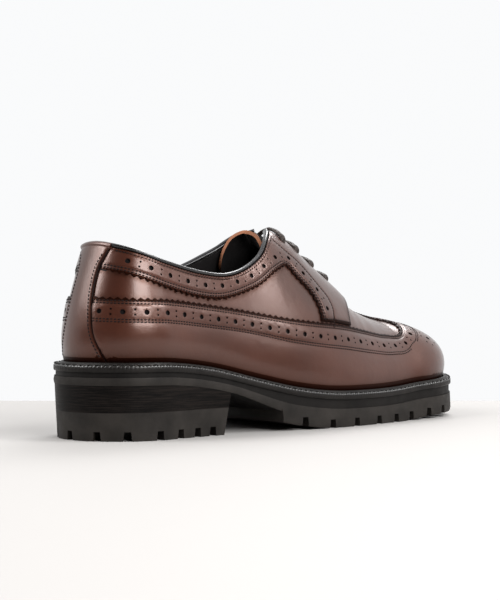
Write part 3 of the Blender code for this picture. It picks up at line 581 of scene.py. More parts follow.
# Dark finishes: name, colour, roughness, scale and strength of grain, coat, spread of tone, specular level
DARK = {
    "edge": ("cut_edge", (0.010, 0.004, 0.003), (0.6, 0.8), 900.0, 0.15, 0.0, 1.6, 0.25),
    # Near-black disc in the punched holes: painted shade
    "hole": ("hole_backing", (0.004, 0.002, 0.002), (0.7, 0.9), 900.0, 0.15, 0.0, 1.6, 0.25),
    "thread": ("thread", (0.007, 0.0032, 0.0026), (0.55, 0.75), 2500.0, 0.4, 0.0, 1.6, 0.12),
    "binding": ("binding_leather", (0.006, 0.0055, 0.006), (0.22, 0.34), 1400.0, 0.12, 0.7, 1.6, 0.25),
    "lining": ("lining_leather", (0.007, 0.006, 0.006), (0.5, 0.7), 1200.0, 0.2, 0.0, 1.6, 0.25),
    "rim": ("raw_leather_edge", (0.30, 0.122, 0.062), (0.6, 0.8), 1500.0, 0.4, 0.0, 1.25, 0.25),
    "rubber": ("sole_rubber", (0.0165, 0.0142, 0.0125), (0.50, 0.66), 1800.0, 0.2, 0.0, 1.6, 0.15),
    "midsole": ("sole_edge", (0.0060, 0.0051, 0.0046), (0.5, 0.65), 1200.0, 0.25, 0.0, 1.6, 0.12),
    "welt": ("welt_leather", (0.0095, 0.0082, 0.0074), (0.36, 0.50), 1300.0, 0.2, 0.0, 1.6, 0.15),
    # Polished bevel of the welt; its lighter colour is a painted highlight
    "bevel_and_highlight": ("welt_bevel_and_highlight", (0.016, 0.0145, 0.0135), (0.28, 0.40), 1300.0, 0.2, 0.45, 1.4, 0.3),
    # Darker rubber on the sole's downward faces: painted shade
    "shaded_underside": ("shaded_underside_rubber", (0.0075, 0.0064, 0.0058), (0.6, 0.75), 1800.0, 0.2, 0.0, 1.6, 0.1),
    "welt_thread": ("welt_thread", (0.006, 0.0055, 0.005), (0.6, 0.8), 2500.0, 0.4, 0.0, 1.6, 0.25),
}
FINISH = {
    "upper": leather("upper_leather", BROWN, coat=0.95, specular=0.5),
    # Dark copy of the leather without polish: painted shade for faces where the shade attribute is deep
    "painted_shade": leather("painted_shade_leather", BROWN, coat=0.0, specular=0.06),
    **{key: plain_dark(*row) for key, row in DARK.items()},
    "stack": stacked("heel_leather", STACK),
    "lace": woven("lace_cotton", CORD),
}
# Turn of the surface in degrees past which an edge shows as sharp
SHARP = {"plain": 40.0, "panel": 50.0, "welt": 50.0, "upper": 60.0, "tube": 60.0, "stack": 80.0, "cut": 35.0}


# Mesh helpers
def put(name, data):
    """A new object in the scene."""
    made = bpy.data.objects.new(name, data)
    bpy.context.scene.collection.objects.link(made)
    return made


def ring_faces(low, high, count):
    """Faces between two rings of points, by the numbers of their first points."""
    return [(low + i, low + (i + 1) % count, high + (i + 1) % count, high + i) for i in range(count)]


def piece(name, points, faces, finishes, nodes=(), kinds=None, shade=None, sharp=SHARP["plain"],
          weld=0.0):
    """One object that rides on the shoe. kinds gives the material number of each face."""
    mesh = bpy.data.meshes.new(name)
    mesh.from_pydata(((np.asarray(points) - ORIGIN) * MM).tolist(), [], faces)
    for finish in finishes:
        mesh.materials.append(FINISH[finish])
    if kinds is not None:
        mesh.polygons.foreach_set("material_index", np.asarray(kinds, np.int32))
    # The shade attribute carries painted shade to the leather's material
    if shade is not None:
        values = mesh.attributes.new("shade", "FLOAT", "POINT").data
        values.foreach_set("value", np.asarray(shade, np.float32))
    work = bmesh.new()
    work.from_mesh(mesh)
    if weld:
        bmesh.ops.remove_doubles(work, verts=work.verts, dist=weld * MM)
    bmesh.ops.recalc_face_normals(work, faces=work.faces)
    work.to_mesh(mesh)
    work.free()
    mesh.shade_smooth()
    mesh.set_sharp_from_angle(angle=math.radians(sharp))
    made = put(name, mesh)
    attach(made, "root")
    if nodes:
        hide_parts(*nodes)
    return made


# Pattern plane: its reach from ridge to feather edge, and points of a smooth run between two given places
FLAT_REACH = 90.0
RUN_POINTS = 9


def flat(places):
    """Pattern plane: the form opened out around the ridge."""
    places = np.asarray(places, float)
    x, _, along, across = axis(places[:, 0])
    reach = FLAT_REACH * (1 - places[:, 1])
    return np.stack([x + along * reach, across * reach], -1)


def unflat(plane):
    """(s, w) places of points of the pattern plane."""
    u, v = plane[:, 0], np.abs(plane[:, 1])
    beyond = u - np.clip(u, HEEL_CENTRE, TOE_CENTRE)
    place = S_SIDE + u - HEEL_CENTRE
    place = np.where(beyond < 0, HEEL_TURN * np.arctan2(v, -beyond), place)
    place = np.where(beyond > 0, S_TOE + TOE_TURN * np.arctan2(beyond, v), place)
    s = np.where(plane[:, 1] < 0, place, 2 * S_END - place)
    return np.stack([s, 1 - np.hypot(beyond, v) / FLAT_REACH], -1)


def moved(places, vectors):
    """Places after a short step over the surface."""
    along, up = rates(places[:, 0], places[:, 1])
    a, b, c = (along * along).sum(1), (along * up).sum(1), (up * up).sum(1)
    p, q = (along * vectors).sum(1), (up * vectors).sum(1)
    scale = a * c - b * b
    step = np.stack([(c * p - b * q) / scale, (a * q - b * p) / scale], 1)
    return unflat(flat(places + step))


def lengths(path):
    return np.concatenate([[0], np.cumsum(np.linalg.norm(np.diff(path, axis=0), axis=1))])


def along_line(places, distances):
    """Places at some distances along a line."""
    plane = flat(places)
    run = lengths(spots(places))
    return unflat(np.stack([np.interp(distances, run, plane[:, k]) for k in (0, 1)], 1))


def evenly(places, step):
    """Places along a line, about a step apart."""
    end = lengths(spots(places))[-1]
    return along_line(places, np.linspace(0, end, max(2, round(end / step) + 1)))


def smooth_run(points, step):
    """Even places on a smooth curve through a few of them."""
    plane = flat(points)
    knots = lengths(plane)
    tangent = np.gradient(plane, knots, axis=0)
    u = np.linspace(0, 1, RUN_POINTS)[:, None]
    fine = []
    for i in range(len(plane) - 1):
        gap = knots[i + 1] - knots[i]
        fine.append(cubic(u, gap, plane[i], plane[i + 1], tangent[i], tangent[i + 1])[:-1])
    return evenly(unflat(np.concatenate(fine + [plane[-1:]])), step)


def inset(places, distance):
    """A line moved over the surface to its left, seen from outside."""
    path = spots(places)
    left = np.cross(normal(places[:, 0], places[:, 1]), unit(np.gradient(path, axis=0)))
    return moved(places, left * np.asarray(distance, float).reshape(-1, 1))


def other_side(places):
    """The same line on the inner side, in the reverse direction."""
    return np.stack([2 * S_END - places[::-1, 0], places[::-1, 1]], 1)


def tree_of(points):
    tree = KDTree(len(points))
    for i, point in enumerate(points):
        tree.insert(point, i)
    tree.balance()
    return tree


def tree_along(places):
    """Search tree of the points at rows of (s, w)."""
    return tree_of(spots(places))


def nearest(points, tree):
    return np.array([tree.find(p)[2] for p in points])


def away_from(places, tree, distance):
    """Which places keep their distance from a line."""
    return nearest(spots(places), tree) > distance


# Panels: leather over the form with pinked edges, punched holes and pressed stitch lines
TOOTH = 2.05
TOOTH_DEPTH = 1.4
TEETH_FADE = (0.5, 3.0)
PANEL_LOW = 0.3
PANEL_TOP = GAP + OVERLAY
UPPER_LIFT = 0.15
STITCH_ROWS = (2.2, 3.6)
LOW_ROWS = (12.6, 14.0)
HOLE_ROW = 8.4
HOLE_PITCH = 12.8
BIG_HOLE = 1.45
SMALL_HOLE = 0.62
PAIR_HALF = 1.45
HOLE_CLEAR = 2.6
PINKED_RINGS = (1.7, 2.65, 3.9, 4.6, 5.4, 11.6, 13.3, 15.0, 17.0)
# The wing tip's hole row and lower seam stand further from its edge over the ball: place and share
WING_WIDEN = np.array([(at_x(90), 1.0), (at_x(222), 1.2), (at_x(236), 1.16), (S_TOE + 5, 0.86)])
PLAIN_RINGS = (0.7, 2.2, 3.4, 4.6)
# Rings of points round a hole: distance from its rim. The rim is a little lower than the leather.
LIP_RINGS = (0.35, 0.9)
RIM_DROP = 0.03
# Dark edges, partly the cut edge's own dark colour and partly painted shade: share of the shade at an edge
# and how far it reaches, and the stitched zone of a pinked edge
EDGE_SHADE = 0.9
EDGE_SHADE_REACH = 0.4
TEETH_DARK = (1.4, 2.2)
ZONE_END = (4.1, 4.8)
# Painted shade above the welt, by height above the feather edge: where its dark band fades, its fainter
# share, and where that fades
FOOT_DARK = (1.5, 6.5)
FOOT_SHADE = 0.3
FOOT_FADE = (3.0, 12.0)
# Finishes of a leather piece: its top, its dark dull top where the painted shade is deep, its cut edge and
# its underside
TOP, PAINTED_SHADE_TOP, CUT, UNDER = range(4)
PAINTED_SHADE_LIMIT = 0.7
# Half width of the dark band at the facing's front edge: its dark cut edge with painted shade
DARK_LINE = 2.8
# Pressed zone of a pinked edge: depth and where it ends, the swell beyond it, and the dip under the low seam
PRESSED = {"depth": 0.36, "end": (3.6, 5.0), "swell": 0.06, "swell_at": 5.4, "swell_half": 0.8}
LOW_DIP = {"depth": 0.22, "half": 1.3}
# Rounded rim of a panel
RIM = {"depth": 0.30, "width": 0.7}
# Share of its distance from one edge that a line keeps from all edges, and distance that a pressed line keeps
RING_CLEAR = 0.93
PRESS_CLEAR = 0.5
# Points inside a panel: their spacing, and the share of it that they keep from the lines
GRID_STEP = 3.2
FINE_GRID = 2.6
GRID_CLEAR = 0.6
# Triangulation: kind of result that keeps what lies inside the outline, and distance at which points merge
INSIDE_ONLY = 1
MERGE = 1e-6
# Corners of holes over and up to the limit of the radius, and room round a hole's last ring
HOLE_CORNERS = {"limit": 1.0, "large": 14, "small": 8}
LIP_CLEAR = 0.3
# A row of holes stops before its line ends, and keeps off the pinked edge
ROW_END = 2.0
ROW_CLEAR = 0.8
# Pressed line under a seam, with painted shade along its groove
PRESS_LINE = {"depth": 0.28, "half": 0.7, "shade": 0.85, "points": (-1.4, -0.7, 0.0, 0.7, 1.4)}


def widen(places):
    """Share by which the wing tip's rows stand further from its edge."""
    place, _ = fold(places[:, 0])
    return curve_through(WING_WIDEN, place)


def pressed(distance, low_rows):
    """How far the leather is pressed down at a distance from its pinked edge."""
    swell = PRESSED["swell"] * np.exp(-((distance - PRESSED["swell_at"]) / PRESSED["swell_half"]) ** 2)
    press = PRESSED["depth"] * (1 - ease(distance, *PRESSED["end"])) - swell
    if low_rows:
        press = press + LOW_DIP["depth"] * np.exp(-((distance - np.mean(LOW_ROWS)) / LOW_DIP["half"]) ** 2)
    return press


def hole_row(line, tree, row=HOLE_ROW, pitch=HOLE_PITCH, start=0.5):
    """Large holes with pairs of small ones between, along a line's inset. Rows of s, w and radius."""
    path = inset(line, row)
    end = lengths(spots(path))[-1] - ROW_END
    big, small = [], []
    centres = along_line(path, np.arange(start * pitch, end, pitch / 2))
    across = inset(centres, 1.0)
    side = unit(spots(across) - spots(centres))
    for i, centre in enumerate(centres):
        if i % 2 == 0:
            big.append((*centre, BIG_HOLE))
            continue
        for half in (-PAIR_HALF, PAIR_HALF):
            small.append((*moved(centre[None], side[i][None] * half)[0], SMALL_HOLE))
    holes = np.array(big + small)
    points = spots(holes)
    off_ridge = np.abs(points[:, 1] - ridge_y(points[:, 0])) > HOLE_CLEAR
    return holes[away_from(holes[:, :2], tree, np.min(row) - PAIR_HALF - ROW_CLEAR) & off_ridge]


def ring_of(hole, radius, count):
    """Places round a hole's centre."""
    s, w = hole[:2]
    along, _ = rates(np.array([s]), np.array([w]))
    out = normal(np.array([s]), np.array([w]))
    first = unit(along)
    second = np.cross(out, first)
    turn = 2 * math.pi * np.arange(count)[:, None] / count
    step = radius * (np.cos(turn) * first + np.sin(turn) * second)
    return moved(np.repeat([[s, w]], count, 0), step)


POINTS_AT_ONCE = 2000


def inside_outline(points, outline):
    """Which points lie inside a closed outline."""
    found = []
    ax, ay = outline[:, 0], outline[:, 1]
    bx, by = np.roll(ax, -1), np.roll(ay, -1)
    rise = np.where(by == ay, 1.0, by - ay)
    for part in np.array_split(points, max(1, len(points) // POINTS_AT_ONCE)):
        x, y = part[:, 0][:, None], part[:, 1][:, None]
        crosses = (ay > y) != (by > y)
        found.append((crosses & (x < ax + (y - ay) * (bx - ax) / rise)).sum(1) % 2 == 1)
    return np.concatenate(found)


def tooth_depths(count):
    """Every other point of a pinked edge is a notch. The notches fade out at both ends."""
    number = np.arange(count)
    from_end = np.minimum(number, count - 1 - number)
    return TOOTH_DEPTH * (number % 2) * ease(from_end, *TEETH_FADE)


def level_of(value, places):
    """Heights at some places, from a number or from a function of the places."""
    return value(places) if callable(value) else np.full(len(places), float(value))


def painted_shade_faces(faces, shade):
    """Finish of each face of a leather's top: the dark dull copy where the painted shade is deep."""
    return [PAINTED_SHADE_TOP if np.mean(shade[list(face)]) > PAINTED_SHADE_LIMIT else TOP for face in faces]


def foot_shade(places):
    """Painted shade on the leather close above the welt."""
    rise = spots(places)[:, 2] - feather(places[:, 0])
    return 1 - ease(rise, *FOOT_DARK) + FOOT_SHADE * (1 - ease(rise, *FOOT_FADE))


def panel_rings(runs, press_lines, edge_tree):
    """Lines of places inside a panel, beside its edges and its pressed lines."""
    rings = []
    for places, pinked in runs:
        for depth in PINKED_RINGS if pinked else PLAIN_RINGS:
            ring = inset(places, depth)[1:-1]
            rings.append(ring[away_from(ring, edge_tree, RING_CLEAR * depth)])
    for line in press_lines:
        for beside in PRESS_LINE["points"]:
            ring = inset(line, beside)
            rings.append(ring[away_from(ring, edge_tree, PRESS_CLEAR)])
    return rings


def panel_mesh(edge, rings, holes, step):
    """Places and faces of a panel, the hole that each place is on or -1, and the rims of edge and holes."""
    edge_plane = flat(edge)
    sizes = ["large" if hole[2] > HOLE_CORNERS["limit"] else "small" for hole in holes]
    loops = [(hole, HOLE_CORNERS[size]) for hole, size in zip(holes, sizes)]
    hole_rings = [ring_of(hole, hole[2], count) for hole, count in loops]
    lips = [ring_of(hole, hole[2] + past, count) for hole, count in loops for past in LIP_RINGS]

    grid_u = np.arange(edge_plane[:, 0].min(), edge_plane[:, 0].max(), step)
    grid_v = np.arange(-FLAT_REACH, FLAT_REACH, step)
    plane = np.stack(np.meshgrid(grid_u, grid_v), -1).reshape(-1, 2)
    grid = unflat(plane[inside_outline(plane, edge_plane)])
    line_tree = tree_along(np.concatenate([edge] + rings + lips))
    extra = np.concatenate(rings + [grid[away_from(grid, line_tree, GRID_CLEAR * step)]])
    if len(holes):
        centre_tree = tree_along(holes)
        found = [centre_tree.find(p) for p in spots(extra)]
        clear = np.array([distance > holes[i, 2] + LIP_RINGS[-1] + LIP_CLEAR for _, i, distance in found])
        extra = extra[clear]
    extra = extra[inside_outline(flat(extra), edge_plane)]

    parts = [edge, extra] + lips + hole_rings
    places = np.concatenate(parts)
    starts = np.concatenate([[0], np.cumsum([len(part) for part in parts])])
    first_hole = 2 + len(lips)
    rims = [list(range(len(edge)))]
    rims += [list(range(starts[first_hole + k], starts[first_hole + k + 1])) for k in range(len(hole_rings))]
    hole_of = np.full(len(places), -1)
    for k, rim in enumerate(rims[1:]):
        hole_of[rim] = k
    links = [pair for rim in rims for pair in zip(rim, rim[1:] + rim[:1])]
    plane = [Vector(p) for p in flat(places)]
    _, _, triangles, origins, _, _ = delaunay_2d_cdt(plane, links, [], INSIDE_ONLY, MERGE)
    source = np.array([ids[0] for ids in origins])
    new_of = {old: new for new, ids in enumerate(origins) for old in ids}
    hole_of = hole_of[source]
    faces = [f for f in triangles if hole_of[f[0]] < 0 or len({hole_of[v] for v in f}) > 1]
    return places[source], faces, hole_of, [[new_of[v] for v in rim] for rim in rims]


def panel_relief(used, runs, edge_tree, top, low_rows, zone_shade, press_lines, dark_line):
    """Height and painted shade of a panel's top at its places."""
    spot = spots(used)
    to_edge = nearest(spot, edge_tree)
    height = level_of(top, used)
    # Painted shade with the dark cut edge near every edge, and painted shade above the welt
    shade = EDGE_SHADE * np.exp(-to_edge / EDGE_SHADE_REACH) + foot_shade(used)
    pinked_lines = [places for places, pinked in runs if pinked]
    if pinked_lines:
        to_pinked = nearest(spot, tree_along(np.concatenate(pinked_lines)))
        height -= pressed(to_pinked / widen(used) if low_rows else to_pinked, low_rows)
        # Painted shade over a pinked edge's stitched zone; its teeth are dark as dark cut edge with painted
        # shade
        zone = zone_shade * (1 - ease(to_pinked, *ZONE_END))
        shade += zone + EDGE_SHADE * (1 - ease(to_pinked, *TEETH_DARK))
    for line in press_lines:
        near = np.exp(-(nearest(spot, tree_along(line)) / PRESS_LINE["half"]) ** 2)
        height -= PRESS_LINE["depth"] * near
        # Painted shade in the pressed groove
        shade += PRESS_LINE["shade"] * near
    # Dark band along a line: the cut edge's dark colour with painted shade
    if dark_line is not None:
        shade += np.exp(-(nearest(spot, tree_along(dark_line)) / DARK_LINE) ** 2)
    height -= RIM["depth"] * (1 - ease(to_edge, 0.0, RIM["width"]))
    return height, np.clip(shade, 0, 1)


def panel(name, runs, holes, finishes, node, low=PANEL_LOW, top=PANEL_TOP, step=GRID_STEP,
          low_rows=False, zone_shade=0.0, press_lines=(), dark_line=None):
    """Closed sheet over the form. runs are (places, pinked) lines that follow each other round its left."""
    depths = [tooth_depths(len(places)) if pinked else np.zeros(len(places)) for places, pinked in runs]
    edge = np.concatenate([inset(places, depth)[:-1] for (places, _), depth in zip(runs, depths)])
    edge_tree = tree_along(np.concatenate([places[:-1] for places, _ in runs]))
    rings = panel_rings(runs, press_lines, edge_tree)
    used, faces, hole_of, rims = panel_mesh(edge, rings, holes, step)
    height, shade = panel_relief(used, runs, edge_tree, top, low_rows, zone_shade, press_lines, dark_line)
    height -= np.where(hole_of >= 0, RIM_DROP, 0.0)
    total = len(used)
    points = np.concatenate([raised(used, height), raised(used, level_of(low, used))])
    all_faces = [tuple(f) for f in faces] + [tuple(v + total for v in reversed(f)) for f in faces]
    kinds = painted_shade_faces(faces, shade) + [UNDER] * len(faces)
    for rim in rims:
        for a, b in zip(rim, rim[1:] + rim[:1]):
            all_faces.append((a, b, b + total, a + total))
            kinds.append(CUT)
    shades = np.concatenate([shade, np.ones(total)])
    piece(name, points, all_faces, finishes, [node], kinds, shades, SHARP["panel"])


# Seams
STITCH = {"pitch": 2.0, "long": 1.6, "wide": 0.76, "high": 0.46}
WELT_STITCH = {"pitch": 4.0, "long": 3.2, "wide": 0.95, "high": 0.7}
STITCH_SIDES = 6
STITCH_LIFT = 0.08
STITCH_TURN = math.radians(9)
# Share of a stitch's half length from its middle to each ring, and the shortest stretch of a seam in points
STITCH_BODY = 0.62
SHORT_SEAM = 4


def stitch_mesh(paths, ups, sizes):
    """Points and faces of a capsule for each stitch along some paths."""
    points, faces = [], []
    angle = 2 * math.pi * np.arange(STITCH_SIDES) / STITCH_SIDES
    for path, up in zip(paths, ups):
        ahead = unit(np.gradient(path, axis=0))
        side = np.cross(up, ahead)
        ahead, side = (
            ahead * math.cos(STITCH_TURN) + side * math.sin(STITCH_TURN),
            side * math.cos(STITCH_TURN) - ahead * math.sin(STITCH_TURN))
        halves = (ahead * sizes["long"] / 2, side * sizes["wide"] / 2, up * sizes["high"] / 2)
        for centre, a, b, c in zip(path, *halves):
            base = len(points)
            points.append(centre - a)
            for share in (-STITCH_BODY, STITCH_BODY):
                points.extend(centre + a * share + np.outer(np.cos(angle), b) + np.outer(np.sin(angle), c))
            points.append(centre + a)
            last = base + 1 + 2 * STITCH_SIDES
            for k in range(STITCH_SIDES):
                j = (k + 1) % STITCH_SIDES
                low, high = base + 1, base + 1 + STITCH_SIDES
                faces.append((base, low + j, low + k))
                faces.append((low + k, low + j, high + j, high + k))
                faces.append((high + k, high + j, last))
    return np.array(points), faces


def seam(places, top, below):
    """A stitched line a little below the leather's top: points and directions out of it."""
    even = evenly(places, STITCH["pitch"])
    middle = (even[1:] + even[:-1]) / 2
    level = level_of(top, middle) - below + STITCH_LIFT
    return raised(middle, level), normal(middle[:, 0], middle[:, 1])


def clear_seams(line, rows, tree, low_rows):
    """Seams inside a pinked line, without the stretches that would come too near another edge."""
    made = []
    for row in rows:
        reach = row * widen(line) if row in LOW_ROWS else np.full(len(line), row)
        path = inset(line, reach)
        keep = nearest(spots(path), tree) > RING_CLEAR * reach
        for stretch in np.split(np.arange(len(path)), np.where(np.diff(keep.astype(int)) != 0)[0] + 1):
            if keep[stretch[0]] and len(stretch) > SHORT_SEAM:
                made.append((path[stretch], float(pressed(row, low_rows))))
    return made


# Pattern lines as even places: their steps, and points of the short edges beside the backstay
EDGE_STEP = 2.0
FOOT_STEP = 3.0
WING_STEP = 8.0
BAND_STEP = 7.0
WING_BACK_POINTS = 12
BAND_BACK_POINTS = 7
# Search for the corner of collar and lace gap: from and to beside the top of the gap, and points
CORNER_SEARCH = (-8.0, 12.0, 201)


def dense(start, end, step):
    return np.linspace(start, end, max(2, round(abs(end - start) / step) + 1))


def backstay_half(rise):
    return curve_through(BACKSTAY, np.atleast_1d(np.asarray(rise, float)))


def backstay_edge(rises, beside):
    half = backstay_half(rises) + beside
    return np.stack([half, w_at_rise(half, rises)], 1)


def wing_line(places, beside=0.0):
    return np.stack([places, w_at_rise(places, curve_through(WING_RISE, places) + beside)], 1)


def foot_line(places):
    return np.stack([places, w_at_rise(places, OVERLAY_FOOT)], 1)


def collar_line(places, below, side=-1):
    return np.stack([places, w_at_height(places, collar_height(np.abs(places), below, side))], 1)


def collar_corner():
    """Place where the collar meets the lace gap."""
    x = THROAT_TOP[0] + np.linspace(*CORNER_SEARCH)
    places = at_x(x)
    collar = w_at_height(places, collar_height(places, COLLAR_LOW))
    return places[np.argmax(collar > w_at_reach(places, throat_half(x)))]


CORNER = collar_corner()


def plan_line(rows, side=-1):
    return np.array([from_plan(x, reach, side) for x, reach in rows])


# Toe rosettes: turn from the tip and distance from the toe's centre in plan
ROSETTES = [(0.0, 33.0), (55.4, 40.5)]
ROSETTE = {"reach": 6.0, "holes": 7}


def rosettes():
    """Large holes on the toe, each with a ring of small ones."""
    rows = []
    for degrees, reach in ROSETTES:
        turn = math.radians(degrees)
        for side in (-1, 1) if degrees else (-1,):
            centre = from_plan(TOE_CENTRE + reach * math.cos(turn), reach * math.sin(turn), side)
            rows.append((*centre, BIG_HOLE))
            rows += [(*place, SMALL_HOLE) for place in ring_of(centre, ROSETTE["reach"], ROSETTE["holes"])]
    return np.array(rows)


def turned(line):
    """A line's twin on the other side of the shoe."""
    return np.stack([2 * S_END - line[:, 0], *line.T[1:]], 1)


def both_sides(rows):
    return np.concatenate([rows, turned(rows)])


def with_twins(rows):
    """Seams of one side and their twins on the other."""
    return rows + [(turned(line), below) for line, below in rows]


def outline_tree(runs):
    return tree_along(np.concatenate([places for places, _ in runs]))


LEATHER_PANEL = ["upper", "painted_shade", "edge", "edge"]
NO_HOLES = np.zeros((0, 3))
SEAMS = {}
HOLES = []
PINKED = {}
# Painted shade over the stitched zone of the wing tip's pinked edge
WING_ZONE_SHADE = 0.4
# Distance that a panel's holes keep from its edges
WING_HOLE_CLEAR = 3.0
FACING_HOLE_CLEAR = 3.2


def make_longwing():
    """Wing tip that runs back to the heel on both sides."""
    start = float(backstay_half(OVERLAY_FOOT)[0]) + GAP
    foot = foot_line(dense(start, 2 * S_END - start, FOOT_STEP))
    back = backstay_edge(np.linspace(*WING_BACK, WING_BACK_POINTS), GAP)
    top_start = float(backstay_half(WING_RISE[0, 1])[0]) + GAP
    top = wing_line(dense(top_start, at_x(WING_BAY_START), WING_STEP))
    peak = np.array([(at_x(WING_PEAK), 1.0)])
    outer = smooth_run(np.concatenate([top, plan_line(WING_BAY), peak])[::-1], TOOTH)
    inner = other_side(outer)
    out_corner = np.concatenate([outer[-1:], back, foot[:1]])
    runs = [(foot, False), (other_side(out_corner), False), (inner, True), (outer, True), (out_corner, False)]
    pinked = outline_tree(runs[2:4])
    holes = hole_row(outer, pinked, HOLE_ROW * widen(outer))
    holes = holes[away_from(holes[:, :2], outline_tree(runs), WING_HOLE_CLEAR)]
    holes = np.concatenate([both_sides(holes), rosettes()])
    HOLES.append(holes)
    SEAMS["wing"] = PANEL_TOP, with_twins(clear_seams(outer, STITCH_ROWS + LOW_ROWS, pinked, True))
    PINKED["wing"] = outer
    panel("longwing_leather", runs, holes, LEATHER_PANEL, "longwing", low_rows=True,
          zone_shade=WING_ZONE_SHADE)


# Lace facing: eyelets, and the seam that holds the facing down, in plan as x and distance from the ridge
EYELET_REACH = 11.8
EYELET_RADIUS = 1.7
FACING_SEAM = [
    (142.2, 14.3), (148.7, 18.0), (156.7, 21.2), (163.2, 24.7), (169.7, 28.0), (174.0, 30.2), (175.3, 33.2),
    (173.2, 36.8), (170.0, 40.0),
]
FACING_HOLES = {"row": 7.8, "pitch": 13.2, "start": 1.15}
COLLAR_SEAM = 3.9
# Points of the throat's edge that take the dark band of the facing's front
FRONT_THROAT = 10
THROAT_POINTS = 26
PRESS_STEP = 1.0
FACING_FOOT = 1.5 * GAP
EDGE_SEAM = 1.7
BACKSTAY_POINTS = 30
BACKSTAY_GRID = 2.4
FOOT_SEAM = 1.3
# The facing stands on tongue and vamp at its front end, and is skived thin beside the backstay
FLAP = {"rise": 2.0, "start": 166.0, "end": 194.0, "top": 18.0, "foot": 36.0}
SKIVE = {"thin": 0.9, "start": 14.0, "end": 40.0}


def facing_top(places):
    """Height of the facing's outer face above the form."""
    point = spots(places)
    place, _ = fold(places[:, 0])
    reach = np.abs(point[:, 1] - ridge_y(point[:, 0]))
    flap = ease(point[:, 0], FLAP["start"], FLAP["end"]) * (1 - ease(reach, FLAP["top"], FLAP["foot"]))
    skived = 1 - ease(place, SKIVE["start"], SKIVE["end"])
    return PANEL_TOP + FLAP["rise"] * flap - SKIVE["thin"] * skived


def facing_lines(side):
    """Edges of one facing laid on the outer side: back, pinked edge, foot, front, throat and collar."""
    throat_x = np.linspace(THROAT_END[0], CORNER - S_SIDE + HEEL_CENTRE, THROAT_POINTS)
    half = throat_half(np.minimum(throat_x, THROAT_END[0] - THROAT_ROUND)) + GAP
    throat = np.stack([at_x(throat_x), w_at_reach(at_x(throat_x), half)], 1)
    collar_end = float(backstay_half(BAND_TOP)[0]) + GAP
    collar = collar_line(dense(CORNER, collar_end, EDGE_STEP), COLLAR_LOW, side)
    throat[-1] = collar[0]
    band_places = dense(float(backstay_half(BAND_FOOT)[0]) + GAP, at_x(BAND_FRONT), BAND_STEP)
    band = np.stack([band_places, w_at_height(band_places, curve_through(BAND_EDGE, band_places))], 1)
    foot = wing_line(dense(at_x(EYESTAY_FOOT[1]), at_x(EYESTAY_FOOT[0]), EDGE_STEP), FACING_FOOT)
    back_rises = np.linspace(BAND_TOP, BAND_FOOT, BAND_BACK_POINTS)[1:-1]
    back = np.concatenate([collar[-1:], backstay_edge(back_rises, GAP), band[:1]])
    pinked = smooth_run(np.concatenate([band, plan_line(EYESTAY_BACK), foot[:1]]), TOOTH)
    front = smooth_run(np.concatenate([foot[-1:], plan_line(EYESTAY_FRONT)[::-1], throat[:1]]), EDGE_STEP)
    return back, pinked, foot, front, throat, collar


def make_facings():
    """Collar band and lace facing of each quarter."""
    all_rows = []
    for name, side in (("outer", -1), ("inner", 1)):
        lines = facing_lines(side)
        _, pinked, foot, front, throat, collar = lines
        runs = [(line, line is pinked) for line in lines]
        pinked_tree = outline_tree(runs[1:2])
        holes = hole_row(pinked, pinked_tree, **FACING_HOLES)
        holes = holes[away_from(holes[:, :2], outline_tree(runs), FACING_HOLE_CLEAR)]
        eyelets = np.array([(*from_plan(x, EYELET_REACH), EYELET_RADIUS) for x in LACE_PLACES])
        holes = np.concatenate([holes, eyelets])
        pressing = [
            smooth_run(plan_line(FACING_SEAM), PRESS_STEP), collar_line(collar[2:-2, 0], COLLAR_SEAM, side)]
        rows = clear_seams(pinked, STITCH_ROWS, pinked_tree, False) + [(inset(foot, FOOT_SEAM), 0.0)]
        rows += [(line, PRESS_LINE["depth"]) for line in pressing]
        # Dark band of the facing's front: dark cut edge with painted shade
        dark_line = np.concatenate([foot, front, throat[:FRONT_THROAT]])
        if side > 0:
            runs = [(other_side(places), is_pinked) for places, is_pinked in runs[::-1]]
            holes = turned(holes)
            pressing = [turned(line) for line in pressing]
            rows = [(turned(line), below) for line, below in rows]
            dark_line = turned(dark_line)
        else:
            PINKED["facing"] = pinked
        HOLES.append(holes)
        all_rows += rows
        panel(f"facing_leather_{name}", runs, holes, LEATHER_PANEL, f"facing_{name}",
              top=facing_top, step=FINE_GRID, press_lines=pressing, dark_line=dark_line)
    SEAMS["facing"] = facing_top, all_rows


def make_backstay():
    """Strip over the back seam, with a row of stitches along each side."""
    rises = np.linspace(OVERLAY_FOOT, BACKSTAY_TOP, BACKSTAY_POINTS)
    side = backstay_edge(rises, 0.0)
    top_half = float(backstay_half(BAND_TOP)[0])
    top = collar_line(dense(top_half, -top_half, EDGE_STEP), COLLAR_LOW)
    up = np.concatenate([side, top[:1]])
    down = np.stack([-up[::-1, 0], up[::-1, 1]], 1)
    foot = foot_line(dense(-side[0, 0], side[0, 0], EDGE_STEP))
    foot[0], foot[-1] = down[-1], up[0]
    runs = [(foot, False), (up, False), (top, False), (down, False)]
    height = GAP + BACKSTAY_THICK
    panel("backstay_leather", runs, NO_HOLES, LEATHER_PANEL, "backstay", top=height,
          step=BACKSTAY_GRID)
    SEAMS["backstay"] = height, with_twins([(inset(up[2:-1], EDGE_SEAM), 0.0)])


def make_stitches():
    """All stitches of a panel as one mesh."""
    for name, (top, rows) in SEAMS.items():
        seams = [seam(line, top, below) for line, below in rows]
        points, faces = stitch_mesh(*zip(*seams), STITCH)
        piece(f"stitches_{name}", points, faces, ["thread"])


HOLE_SHADE_DISC = {"low": 0.18, "high": 0.34, "past": 0.5, "sides": 12}


